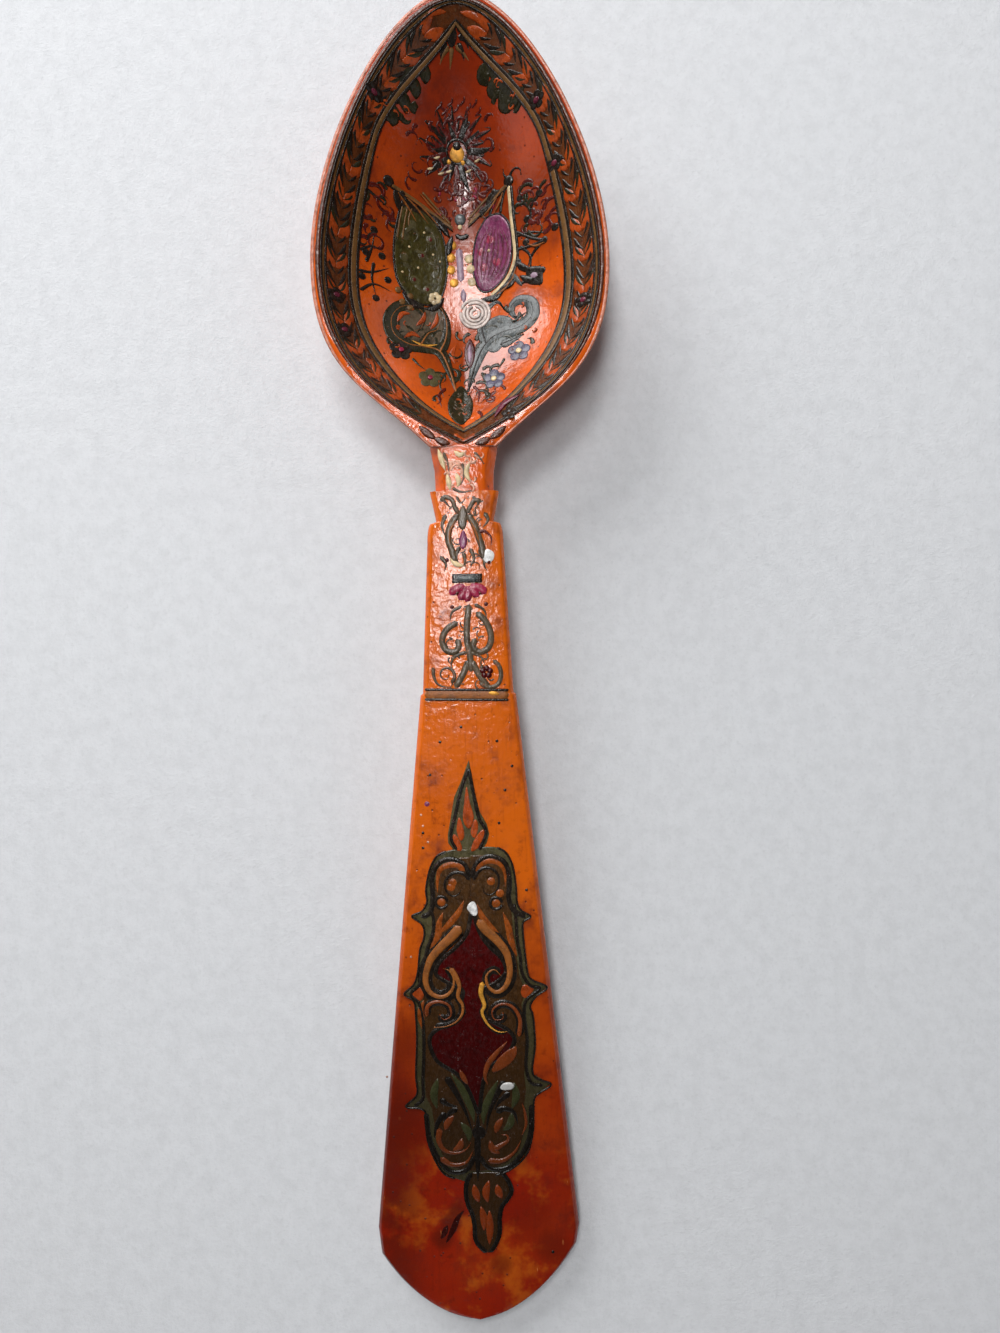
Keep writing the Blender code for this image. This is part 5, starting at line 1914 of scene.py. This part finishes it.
        corner.strokes(self.small_arcs, width=0.5, tip=Tip.TAIL).build("olive_paint")


# Paint on the handle


@dataclass
class ShankColumn:
    """The column of ornament between the collar and the gilt band."""

    neck_box: Box = (442.0, 452.0, 483.0, 492.0)
    arch_box: Box = (446.0, 500.0, 484.0, 568.0)
    stem_box: Box = (444.0, 606.0, 492.0, 686.0)
    painted_highlight: Pixels = ((484, 552), (488, 549), (494, 553), (493, 560), (487, 563), (483, 559))
    neck_pale: Lines = (
        ((438, 449), (441, 458), (445, 470)), ((447, 474), (449, 483), (450, 490)),
        ((454, 451), (460, 455), (465, 452)), ((456, 473), (459, 482), (457, 487)),
        ((470, 462), (466, 472), (470, 482)), ((450, 558), (456, 564), (464, 566)))
    neck_dark: Lines = (
        ((443, 452), (448, 464), (449, 478)), ((462, 463), (464, 474), (461, 486)),
        ((474, 452), (480, 458), (484, 464)), ((452, 488), (462, 492), (474, 490)),
        ((441, 496), (447, 504), (453, 510)), ((456, 496), (461, 503), (466, 497)),
        ((472, 496), (478, 503), (473, 510)))
    shoulder_marks: Lines = (
        ((446, 514), (442, 526), (446, 538)), ((484, 512), (488, 520), (482, 528)),
        ((460, 546), (456, 556), (460, 566)), ((470, 548), (474, 558), (470, 568)),
        ((463, 552), (465, 560), (463, 568)), ((440, 556), (446, 564), (444, 572)),
        ((488, 554), (484, 564), (487, 571)))
    curls: Lines = (
        ((440, 502), (445, 497), (452, 500), (455, 508), (459, 514)),
        ((482, 502), (475, 500), (470, 507), (467, 514)))
    leaf: Pixels = ((463, 505), (467, 513), (466, 526), (462, 530), (458, 524), (459, 512))
    legs: Lines = (
        ((459, 514), (451, 524), (448, 538), (452, 551), (455, 563)),
        ((467, 514), (475, 526), (479, 538), (482, 547), (484, 560)))
    loop: Pixels = ((478, 533), (484, 531), (491, 537), (491, 546))
    bud: Pixels = ((463, 530), (467, 538), (466, 546), (462, 549), (459, 541))
    bar_left: Pixels = ((452, 573.5), (452, 583))
    bar_right: Pixels = ((482, 573.5), (482, 583))
    bar_heart: Pixels = ((456, 578.5), (478, 578.5))
    petals: Lines = (
        ((467, 586), (463, 594), (459, 600)), ((468, 586), (468, 594), (466, 602)),
        ((468, 586), (474, 592), (479, 597)), ((466, 587), (456, 589), (450, 595)),
        ((469, 587), (480, 588), (486, 594)))
    stem: Lines = (
        ((469, 604), (467, 624), (467, 640), (470, 656), (471, 672)),
        ((469, 660), (462, 676), (455, 688)), ((471, 660), (480, 676), (489, 688)))
    left_c: Lines = (
        ((458, 622), (447, 629), (442, 640), (446, 650), (455, 652), (459, 645), (456, 639)),)
    right_c: Lines = (
        ((476, 612), (486, 622), (491, 636), (488, 648), (479, 652), (473, 646), (476, 638)),)
    inner_c: Lines = (
        ((462, 606), (452, 612), (450, 622)), ((474, 604), (484, 610), (487, 620)),
        ((467, 652), (456, 656), (451, 664), (454, 672)), ((470, 652), (481, 657), (485, 665)))
    left_foot: Pixels = ((446, 675),)
    left_tail: Lines = (((433, 667), (434, 677), (439, 685), (452, 688)),)
    right_foot: Lines = (((493, 660), (499, 666), (501, 676), (497, 685), (488, 687), (479, 682)),)
    flower: Pixels = ((486.5, 672),)
    red_marks: Pixels = ((480, 593), (457, 593), (447, 560), (489, 562), (452, 607), (486, 604))
    legs_gold: Lines = (((456, 520), (450, 532), (450, 545)), ((470, 520), (476, 532), (480, 545)))

    def build(self) -> None:
        """Lay the arch, bar, petals, stem, C-scrolls and curls."""
        arch = Painted("shank_arch_paint", WORN_OLIVE, HANDLE, level=1.3)
        arch.strokes(self.curls, width=0.65).strokes(self.legs, width=0.95)
        arch.patches((self.leaf,), crown=0.18).build("olive_paint", "shank_arch")
        pale = Painted("neck_pale_strokes", CREAM, HANDLE, level=1.5)
        pale.strokes(self.neck_pale, width=0.8, tip=Tip.POINTED).build("cream_paint")
        dusk = Painted("neck_dark_strokes", WORN_OLIVE, HANDLE, level=1.2)
        dusk.strokes(self.neck_dark, width=0.5, tip=Tip.TAIL)
        dusk.strokes(self.shoulder_marks, width=0.75, tip=Tip.TAIL).build("olive_paint")
        crust = Painted("neck_crust", BLUSH, HANDLE, level=1.1)
        crust.tangle(self.neck_box, count=26, radius=0.75, width=0.5, seed=40).build("cream_paint")
        scrawl = Painted("shank_scrawl", WORN_OLIVE, HANDLE, level=1.1)
        scrawl.tangle(self.arch_box, count=20, radius=0.8, width=0.32, seed=41)
        scrawl.tangle(self.stem_box, count=24, radius=0.8, width=0.32, seed=42).build("olive_paint")
        # The white patch is a painted highlight: a glint on crusty varnish.
        highlight_patch = Painted("shank_painted_highlight", HIGHLIGHT_WHITE, HANDLE, level=2)
        highlight_patch.patches((self.painted_highlight,), crown=0.12, edge=0.5).build("cream_paint")
        glow = Painted("shank_arch_gold", OCHRE, HANDLE, level=3)
        glow.strokes(self.legs_gold, width=0.35, tip=Tip.POINTED).build("gilding")
        bud = Painted("arch_bud_paint", PURPLE, HANDLE, level=1.6).patches((self.bud,), crown=0.16)
        bud.build("purple_paint", "arch_bud")
        loop = Painted("shank_loop", CRIMSON, HANDLE, level=1.4)
        loop.strokes((self.loop,), width=0.55, tip=Tip.TAIL).dots(self.red_marks, radius=0.35)
        loop.build("maroon_paint")
        plate = Painted("shank_bar_paint", DARK, HANDLE, level=1.4)
        plate.field_between(self.bar_left, self.bar_right)
        plate.build("dark_paint", "shank_bar")
        heart = Painted("shank_bar_heart", GREY, HANDLE, level=3).strokes((self.bar_heart,), width=0.75)
        heart.build("green_paint")
        rose = Painted("shank_petal_strokes", ROSE, HANDLE, level=1.6)
        rose.strokes(self.petals, width=1.2, tip=Tip.ROUND, crown=0.18)
        rose.build("rose_paint", "shank_petals")
        stem = Painted("shank_stem_paint", WORN_OLIVE, HANDLE, level=1.3).strokes(self.stem, width=0.95)
        stem.strokes(self.inner_c, width=0.6, tip=Tip.TAIL).build("olive_paint", "shank_stem")
        for name, lines in (("left", self.left_c), ("right", self.right_c)):
            scroll = Painted(f"{name}_c_scroll_paint", WORN_OLIVE, HANDLE, level=1.6)
            scroll.strokes(lines, width=0.9).build("olive_paint", f"{name}_c_scroll")
        left = Painted("left_foot_curl_paint", WORN_OLIVE, HANDLE, level=1.8)
        centre = VIEW.place(self.left_foot, HANDLE)[0]
        hook = spiral(centre, start=1.55, end=0.45, turn_from=-60, turn_to=360)
        left.stroke(hook, width=0.6, tip=Tip.TAIL)
        left.strokes(self.left_tail, width=0.6, tip=Tip.TAIL).build("olive_paint", "left_foot_curl")
        right = Painted("right_foot_curl_paint", WORN_OLIVE, HANDLE, level=1.8)
        right.strokes(self.right_foot, width=0.65).build("olive_paint", "right_foot_curl")
        flower = Painted("shank_flower", MAROON, HANDLE, level=2).blossoms(self.flower, radius=1.1)
        flower.build("maroon_paint")


@dataclass
class GiltBand:
    """The gilt band across the spoon where the blade begins."""

    band: Pixels = ((424.5, 694.5), (467, 694.8), (509, 695))
    upper_line: Pixels = ((424.5, 689.6), (467, 689.8), (509, 690))
    lower_line: Pixels = ((424.5, 699.4), (467, 699.6), (509, 699.8))
    bright: Pixels = ((488, 693), (493, 693), (500, 694))

    def build(self) -> None:
        """Lay the band, the dark lines beside it and its unrubbed gold."""
        band = Painted("gilt_band_paint", OCHRE, HANDLE).strokes((self.band,), width=1.7)
        band.build("gilding", "gilt_band")
        lines = Painted("gilt_band_lines", DARK, HANDLE, level=2)
        lines.strokes((self.upper_line, self.lower_line), width=0.4).build("dark_paint")
        gold = Painted("gilt_band_bright", GOLD, HANDLE, level=2)
        gold.strokes((self.bright,), width=0.7, tip=Tip.POINTED).build("gilding")


@dataclass
class Medallion:
    """The long medallion on the blade, with its finial above and its pendant leaf below."""

    spear_left: Pixels = (
        (468.7, 760), (461, 781), (454, 797), (451, 815), (447.6, 835), (448, 843), (454, 851),
        (462, 854))
    spear_right: Pixels = (
        (468.8, 760), (472, 775), (475, 792), (480, 812), (487, 824), (489.5, 834), (486.5, 844),
        (478, 854))
    spear_cuts: Lines = (
        ((466.5, 786), (470, 802), (474, 818), (469, 829), (463, 820), (464, 804)),
        ((459, 817), (463, 826), (464.5, 836), (460.5, 841), (456.5, 830)),
        ((453.5, 834), (458.5, 838), (462.5, 849), (458, 851), (452.5, 845)),
        ((475, 819), (478.5, 826), (475, 838), (470.5, 832)),
        ((483, 829), (484.5, 838), (477, 849), (471, 851), (474, 840)))
    spear_edges: Lines = (
        ((468.7, 768), (461, 790), (456, 812), (451, 836), (457, 850)),
        ((468.7, 768), (474, 796), (479, 818), (486, 832), (479, 850)))
    left_outer: Pixels = (
        (455, 849), (446, 851), (437, 856), (431, 866), (428, 877), (426, 890), (427, 902), (422, 911),
        (412, 916), (420, 922), (424, 928), (424, 938), (420, 950), (418, 971), (414, 984),
        (404.5, 993.5), (412, 999), (415, 1004), (416, 1016), (417, 1039), (416, 1074), (417, 1094),
        (406, 1106), (420, 1108), (426, 1114), (427, 1136), (433, 1155), (443, 1172), (455, 1178),
        (464, 1181))
    left_inner: Pixels = (
        (470, 849), (471, 880), (471, 905), (471, 917), (465, 933), (456, 944), (441, 955), (434, 966),
        (434, 976), (446, 984), (461, 989), (460, 1004), (462, 1012), (452, 1020), (434, 1028),
        (428, 1036), (428, 1046), (434, 1060), (444, 1068), (455, 1073), (466, 1086), (474, 1102),
        (478, 1116), (478, 1150), (477, 1181))
    right_inner: Pixels = (
        (469.5, 847), (470.5, 880), (471, 905), (473, 917), (481, 933), (490, 944), (501, 954),
        (508, 964), (508, 974), (497, 984), (482, 989), (485, 1004), (482, 1012), (492, 1020),
        (508, 1027), (516, 1036), (516, 1044), (510, 1055), (500, 1062), (489, 1070), (484, 1086),
        (480, 1102), (478.5, 1116), (478, 1150), (477, 1181))
    right_outer: Pixels = (
        (487.6, 846), (497, 847), (505.5, 852), (511, 861), (514, 872), (516, 887), (517, 902),
        (521, 910), (530.5, 916), (524, 921), (522.5, 928), (525, 954), (528, 974), (533, 980),
        (547, 987), (536, 996), (530, 1006), (533, 1016), (535, 1045), (533, 1074), (551, 1083.6),
        (540, 1092), (534, 1100), (533, 1130), (527, 1153), (512, 1168), (495, 1175), (486, 1181))
    field_left: Pixels = (
        (472, 910), (470, 920), (467, 933), (457, 946), (443, 958), (437, 967), (437, 975), (452, 984),
        (463, 990), (461, 1004), (464, 1012), (456, 1020), (436, 1030), (430, 1038), (431, 1048),
        (437, 1060), (447, 1067), (458, 1074), (468, 1088), (479, 1114))
    field_right: Pixels = (
        (472.6, 910), (475.4, 920), (480, 933), (489, 946), (500, 956), (505, 965), (505, 973),
        (494, 983), (481, 990), (484, 1004), (481, 1012), (490, 1020), (507, 1029), (514, 1037),
        (513, 1044), (507, 1054), (497, 1061), (487, 1070), (482, 1088), (479.4, 1114))
    ground_left: Pixels = (
        (462, 857), (446, 861), (437, 870), (433, 886), (433, 905), (431, 918), (431, 938), (427, 952),
        (425, 970), (423, 985), (421, 994), (423, 1004), (424, 1018), (425, 1040), (424, 1074),
        (425, 1096), (431, 1108), (433, 1120), (435, 1136), (441, 1153), (449, 1165), (460, 1170),
        (474, 1171))
    ground_right: Pixels = (
        (480, 855), (494, 853), (503, 858), (508, 868), (510, 886), (511, 903), (513, 918), (514, 930),
        (517, 954), (520, 974), (524, 986), (527, 992), (522, 1004), (525, 1018), (527, 1045),
        (525, 1074), (527, 1090), (525, 1104), (525, 1130), (520, 1150), (508, 1162), (494, 1168),
        (482, 1171))
    ground_middle_left: Pixels = (
        (471, 857), (471, 905), (471, 917), (465, 933), (456, 944), (441, 955), (436, 966), (436, 976),
        (448, 984), (462, 989), (461, 1004), (463, 1012), (453, 1020), (436, 1028), (430, 1036),
        (430, 1046), (436, 1060), (446, 1068), (457, 1073), (467, 1086), (475, 1102), (479, 1116),
        (479, 1171))
    ground_middle_right: Pixels = (
        (470.6, 855), (470.6, 905), (473, 917), (481, 933), (490, 944), (501, 954), (506, 964),
        (506, 974), (496, 984), (481, 989), (484, 1004), (481, 1012), (491, 1020), (507, 1027),
        (515, 1036), (515, 1044), (509, 1055), (499, 1062), (488, 1070), (483, 1086), (480, 1102),
        (478.6, 1116), (478.6, 1171))
    arches: Lines = (
        ((470, 878), (468, 871), (463, 863), (451.4, 859), (441.5, 861), (434.8, 868), (432, 880),
        (433, 897), (430.5, 912), (421, 917)), ((472, 878), (473, 872), (477, 863), (488, 856),
        (500.5, 859), (507.3, 867.6), (509.5, 882.4), (508.5, 897), (513, 909.4), (526, 917)))
    arch_ambers: Lines = (
        ((465, 871), (459, 865), (449, 865), (440, 870), (437.5, 882), (438, 896)),
        ((475, 872), (481, 863), (490, 860.5), (500, 864), (505, 874), (505, 890)))
    arch_curls: Lines = (
        ((470, 880), (463, 873), (453, 873), (445.2, 881), (446.5, 891), (454, 896), (460.5, 891),
        (458, 884)), ((473, 880), (480, 869.5), (490.6, 868), (498, 875), (498, 887.3), (490.6, 894.6),
        (483.3, 891), (485.7, 884)))
    arch_eyes: Pixels = ((452.6, 882.4), (441.5, 902), (451, 887), (491, 881), (496, 903), (500, 893))
    arch_rings: Pixels = ((441.5, 902), (496, 903))
    flank_ambers: Lines = (
        ((464, 900), (458, 913), (448, 925), (438, 934)),
        ((477, 904), (482, 916), (490, 926), (500, 934)),
        ((443, 912), (439, 924), (438, 936), (430, 950)),
        ((503, 912), (508, 926), (511, 940), (517, 956)), ((424, 1000), (421, 1012), (423, 1030)))
    dark_edges: Lines = (
        ((431, 909), (434, 922), (432, 936), (427, 950), (424, 968), (420, 984), (411, 993.5),
        (419, 1003), (423, 1020), (424, 1050), (423, 1080), (423, 1098), (414, 1106)), ((514, 903),
        (516, 920), (517, 938), (520, 955), (522, 972), (530, 985), (540, 988), (527, 999), (524, 1012),
        (527, 1040), (526, 1066), (531, 1082), (543, 1085)))
    ring_left: Pixels = (
        (461, 926), (451, 937), (439, 948.6), (429.8, 961), (425.5, 978), (430, 991.5), (441.5, 996.5),
        (451.5, 990.4), (454, 979), (449, 970), (443, 968))
    ring_right: Pixels = (
        (478, 919), (485.5, 929), (498, 941), (507, 954), (509.8, 973.2), (505, 986.5), (496, 991.5),
        (487.8, 985), (486.5, 975), (494, 969), (501, 975))
    bright_left: Pixels = (
        (450, 967), (456, 976), (459.5, 986), (458, 996), (462.4, 1004), (462.4, 1013), (456.3, 1021),
        (446.5, 1025.5), (434.2, 1027))
    bright_right: Pixels = (
        (483, 981), (480.8, 992.5), (484.5, 1004.7), (482, 1012), (488.2, 1024), (498, 1031),
        (508, 1031))
    low_rings: Lines = (
        ((426.8, 1016), (428, 1005.5), (438, 1001), (449, 1005), (451, 1015), (444, 1019),
        (439.6, 1013.6)), ((518.9, 1036), (520, 1019), (512.7, 1006.5), (501.5, 1003.5),
        (492.5, 1009.6), (494.3, 1018.6), (502.5, 1018.2), (503, 1012)))
    low_gold: Lines = (
        ((507, 1041), (497, 1052), (488.5, 1063), (485, 1076), (488, 1084)),
        ((460, 1069), (463, 1076), (468, 1084)))
    low_red: Pixels = (
        (515.5, 1045.6), (516.5, 1054.3), (508, 1065), (493, 1072), (494, 1063), (504, 1052))
    triangles: Lines = (
        ((420, 986), (425, 993.5), (420, 1001), (411, 993.5)),
        ((524, 984), (534, 989), (525, 998), (520, 992)))
    low_arcs: Lines = (
        ((426, 1112), (429, 1136), (436, 1154), (446, 1168), (457, 1172), (468, 1168), (475, 1155)),
        ((531, 1104), (531, 1130), (524, 1150), (511, 1165), (497, 1169), (486, 1165), (480, 1155)))
    low_curls: Lines = (
        ((440.3, 1127.5), (439, 1140), (445.2, 1150), (456.3, 1152.5), (466, 1149), (471, 1142)),
        ((440.3, 1157), (451.4, 1164), (466, 1162), (473.4, 1150)),
        ((493, 1149.5), (500.5, 1145), (508, 1140), (507, 1134.8), (501, 1134)),
        ((488, 1160), (502, 1160), (514, 1152), (521, 1140)))
    low_leaves: Lines = (
        ((454, 1115), (448, 1122), (445, 1130)), ((503, 1117), (498, 1125), (495.5, 1133)),
        ((462, 1138), (460, 1146), (453, 1150)), ((490, 1140), (493, 1149), (500, 1153)))
    low_greens: Lines = (
        ((451.4, 1073), (463, 1090), (471, 1108), (474.6, 1122)),
        ((498, 1080), (489, 1098), (484, 1112), (483.5, 1124)),
        ((438, 1078), (434, 1094), (437, 1108)), ((514, 1082), (516, 1096), (512, 1108)),
        ((461, 1122), (468.5, 1132), (469, 1141)), ((512, 1112), (510, 1124), (503, 1130)))
    low_darks: Lines = (
        ((446, 1076), (456, 1092), (466, 1112), (473, 1132)),
        ((505, 1080), (496, 1096), (489, 1114), (486, 1134)), ((446, 1112), (438, 1122), (434, 1138)),
        ((458, 1108), (450, 1112), (443, 1122)), ((496, 1112), (504, 1108), (514, 1112), (518, 1124)),
        ((440, 1098), (448, 1104), (458, 1106)), ((510, 1092), (500, 1100), (494, 1110)))
    tan_edge: Pixels = ((522, 1102), (525, 1112), (526, 1124), (522, 1134))
    knot_centre: Pixels = ((479, 1132),)
    painted_highlights: Lines = (
        ((470, 902), (474, 901), (477, 906), (477.5, 913), (474, 915.5), (469, 911), (467, 907)),
        ((500, 1086.5), (504, 1082), (511, 1081.5), (514.5, 1085), (511, 1088.5), (503, 1089)))
    knot: Lines = (((478, 1112), (477.6, 1140), (478, 1180)),)
    leaf_left: Pixels = (
        (472, 1172), (467, 1181), (466, 1193), (468, 1204), (472, 1213), (474.5, 1224), (475.5, 1238),
        (480, 1246), (487, 1252))
    leaf_right: Pixels = (
        (500, 1170), (508, 1180), (511.5, 1190), (508, 1198), (502, 1206), (499.6, 1218), (499.6, 1232),
        (496, 1243), (490, 1252))
    leaf_veins: Lines = (
        ((474, 1184), (476, 1193), (479, 1202)), ((497, 1184), (499, 1192), (502, 1198)),
        ((489, 1180), (486, 1192), (488, 1202)), ((489.5, 1210), (490, 1226), (489.5, 1244)),
        ((481, 1206), (484, 1218), (484, 1230)))

    def build(self) -> None:
        """Lay the finial, the frame and its ornament, the field, the gold scrolls and the leaf."""
        spear = Painted("spear_finial_paint", OLIVE, HANDLE)
        spear.field_between(self.spear_left, self.spear_right, crown=0.16)
        spear.build("olive_paint", "spear_finial")
        cuts = Painted("spear_flames", FLAME, HANDLE, level=2.6)
        cuts.patches(self.spear_cuts, crown=0.14, edge=0.3)
        cuts.patches(self.triangles, crown=0.14, edge=0.4).build("orange_lacquer")
        body = Painted("medallion_frame_paint", OLIVE, HANDLE, level=1.2)
        body.field_between(self.left_outer, self.left_inner, crown=0.16)
        body.field_between(self.right_inner, self.right_outer, crown=0.16)
        body.build("olive_paint", "medallion_frame")
        ground = Painted("medallion_ground", UMBER, HANDLE, level=2.0)
        ground.field_between(self.ground_left, self.ground_middle_left, crown=0.14)
        ground.field_between(self.ground_middle_right, self.ground_right, crown=0.14)
        ground.build("olive_paint")
        field_paint = Painted("medallion_field_glaze", MAROON, HANDLE, level=3.0)
        field_paint.field_between(self.field_left, self.field_right, crown=0.14)
        field_paint.build("maroon_paint", "medallion_field")
        amber = Painted("medallion_ambers", AMBER, HANDLE, level=3.2)
        amber.strokes(self.arch_ambers, width=1.35, tip=Tip.TAIL)
        amber.dots(self.arch_eyes, radius=0.75, crown=0.14)
        amber.strokes(self.flank_ambers, width=1.1, tip=Tip.POINTED).build("orange_lacquer")
        rust = Painted("medallion_rust_leaves", RUST, HANDLE, level=3.8)
        rust.strokes(self.low_leaves, width=1.1, tip=Tip.POINTED).build("orange_lacquer")
        dark = Painted("medallion_dark_lines", DARK, HANDLE, level=3.6)
        dark.strokes(self.spear_edges + self.dark_edges, width=0.5)
        dark.strokes(self.arches + self.low_arcs, width=0.75)
        dark.strokes(self.low_darks, width=1.15, tip=Tip.TAIL)
        dark.strokes(self.arch_curls, width=0.65, tip=Tip.TAIL)
        dark.strokes((self.field_left, self.field_right), width=0.7)
        dark.strokes((self.left_outer[1:-1], self.right_outer[1:-1]), width=0.3)
        dark.strokes((self.leaf_left, self.leaf_right), width=0.7)
        dark.strokes(self.knot, width=1.0, tip=Tip.POINTED)
        dark.dots(self.knot_centre, radius=1.2, crown=0.16)
        for centre in VIEW.place(self.arch_rings, HANDLE):
            dark.stroke(spiral(centre, start=1.0, end=1.0, turn_from=0, turn_to=350), width=0.45)
        dark.strokes((self.ring_left, self.ring_right), width=2.2, tip=Tip.ROUND, crown=0.12)
        under_gold = self.low_rings + (self.bright_left, self.bright_right)
        dark.strokes(under_gold, width=1.35, tip=Tip.ROUND, crown=0.12)
        dark.build("dark_paint")
        for name, ring, bright, finish in (("left", self.ring_left, self.bright_left, OCHRE),
                                           ("right", self.ring_right, self.bright_right, GOLD)):
            scroll = Painted(f"{name}_gilt_scroll_paint", OCHRE, HANDLE, level=5)
            scroll.strokes((ring,), width=1.5, tip=Tip.TAIL).build("gilding", f"{name}_gilt_scroll")
            light = Painted(f"{name}_bright_scroll", finish, HANDLE, level=5)
            light.strokes((bright,), width=0.8, tip=Tip.TAIL).build("gilding")
        low = Painted("medallion_low_gold", RUST, HANDLE, level=5)
        low.strokes(self.low_rings, width=0.7, tip=Tip.TAIL)
        low.strokes(self.low_gold, width=0.85, tip=Tip.POINTED)
        low.strokes((self.tan_edge,), width=0.5, tip=Tip.POINTED).build("gilding")
        red = Painted("medallion_red_curls", RUST, HANDLE, level=4.4)
        red.strokes(self.low_curls, width=1.0, tip=Tip.TAIL).patches((self.low_red,), crown=0.14)
        red.build("maroon_paint")
        green = Painted("medallion_green_leaves", MOSS, HANDLE, level=3.4)
        green.strokes(self.low_greens, width=1.25, tip=Tip.POINTED).build("green_paint")
        # The two white patches are painted highlights: glints on raised varnish.
        painted_highlights = Painted("medallion_painted_highlights", HIGHLIGHT_WHITE, HANDLE, level=6)
        painted_highlights.patches(self.painted_highlights, crown=0.2, edge=0.3).build("cream_paint")
        leaf = Painted("pendant_leaf_paint", UMBER, HANDLE, level=1.4)
        leaf.field_between(self.leaf_left, self.leaf_right, crown=0.18)
        leaf.build("olive_paint", "pendant_leaf")
        veins = Painted("pendant_leaf_veins", FLAME, HANDLE, level=3.6)
        veins.strokes(self.leaf_veins, width=1.2, tip=Tip.POINTED).build("maroon_paint")


@dataclass
class Wear:
    """The stain and the specks of a long used handle."""

    stain: Lines = (
        ((466, 1208), (458, 1218), (453, 1230), (444, 1247)), ((448, 1224), (444, 1234), (440, 1240)))
    specks: Pixels = (
        (512, 766), (499, 823), (526.5, 890), (423, 833), (423, 848), (553, 1252), (440, 742),
        (461, 727), (497, 741), (430, 775), (505, 790))
    purple_speck: Pixels = ((427, 804),)
    pale_specks: Pixels = ((421, 815), (423, 826), (411, 957), (387, 1077), (428, 842), (519, 1052))

    def build(self) -> None:
        """Lay the stain and the specks."""
        stain = Painted("handle_stain", STAIN, HANDLE)
        stain.strokes(self.stain, width=1.1, tip=Tip.POINTED, crown=0.05).build("maroon_paint")
        specks = Painted("handle_specks", DARK, HANDLE).dots(self.specks, radius=0.28, crown=0.1)
        specks.build("dark_paint")
        pale = Painted("handle_pale_specks", BLUSH, HANDLE)
        pale.dots(self.pale_specks, radius=0.22, crown=0.1).build("cream_paint")
        speck = Painted("handle_purple_speck", PURPLE, HANDLE)
        speck.dots(self.purple_speck, radius=0.45, crown=0.12).build("purple_paint")


# The studio


@dataclass(frozen=True)
class Lamp:
    """A soft rectangular lamp: its place and size in metres, and its power in watts."""

    name: str
    place: Triple
    size: tuple[float, float]
    power: float
    level: bool = False

    def hang(self) -> None:
        """Hang it, looking straight down if level, or else at the middle of the spoon."""
        light = bpy.data.lights.new(self.name, "AREA")
        light.shape = "RECTANGLE"
        light.size, light.size_y = self.size
        light.energy = self.power
        lamp = bpy.data.objects.new(self.name, light)
        lamp.location = self.place
        if not self.level:
            x, y, z = self.place
            tilt = math.atan2(math.hypot(x, y), z)
            lamp.rotation_euler = (tilt, 0.0, math.atan2(y, x) + math.pi / 2)
        bpy.context.scene.collection.objects.link(lamp)


@dataclass
class Studio:
    """The floor, the lamps, the sky and the camera."""

    floor_size: float = 6.0
    floor_finish: Finish = Cloth("pale_floor", (0.60, 0.61, 0.63))
    lamps: tuple[Lamp, ...] = (
        Lamp("overhead_lamp", (-0.070, 0.036, 0.60), (0.110, 0.143), 1.22, level=True),
        Lamp("window_lamp", (-0.370, 0.572, 0.270), (0.50, 0.42), 6.0),
        Lamp("skylight_lamp", (-0.062, 0.345, 0.606), (0.20, 0.17), 2.2))
    fill_reach: float = 1.0
    fill_height: float = 0.42
    fill_size: tuple[float, float] = (0.50, 0.50)
    fill_power: float = 0.5
    fill_bearings: tuple[float, ...] = (190.0, 262.0, 335.0, 45.0)
    sky: float = 0.04
    sky_colour: Colour = (0.95, 0.97, 1.0)

    def floor(self) -> None:
        """A wide plain floor under the spoon."""
        Bench.clear_selection()
        bpy.ops.mesh.primitive_grid_add(x_subdivisions=12, y_subdivisions=12,
                                        size=self.floor_size)
        floor = bpy.context.object
        floor.name = "floor"
        floor.data.materials.append(self.floor_finish.material())

    def build(self) -> None:
        """Set everything up."""
        self.floor()
        for lamp in self.lamps:
            lamp.hang()
        for k, bearing in enumerate(np.radians(self.fill_bearings), start=1):
            place = (self.fill_reach * math.cos(bearing), self.fill_reach * math.sin(bearing),
                     self.fill_height)
            Lamp(f"fill_lamp_{k}", place, self.fill_size, self.fill_power).hang()
        world = bpy.data.worlds.new("sky")
        bpy.context.scene.world = world
        world.use_nodes = True
        ground = world.node_tree.nodes["Background"]
        ground.inputs["Color"].default_value = (*self.sky_colour, 1.0)
        ground.inputs["Strength"].default_value = self.sky
        bpy.context.scene.view_settings.view_transform = "Standard"
        VIEW.set_camera()


def main() -> None:
    """Build the spoon's sub-assemblies in order, then the studio."""
    logging.basicConfig(level=logging.INFO, format="%(message)s")
    for part in (BowlWood(), HandleWood(), Border(), Sun(), Trophy(), Sprays(), ShankColumn(),
                 GiltBand(), Medallion(), Wear(), Studio()):
        LOG.info("building %s", type(part).__name__)
        part.build()


if __name__ == "__main__":
    main()
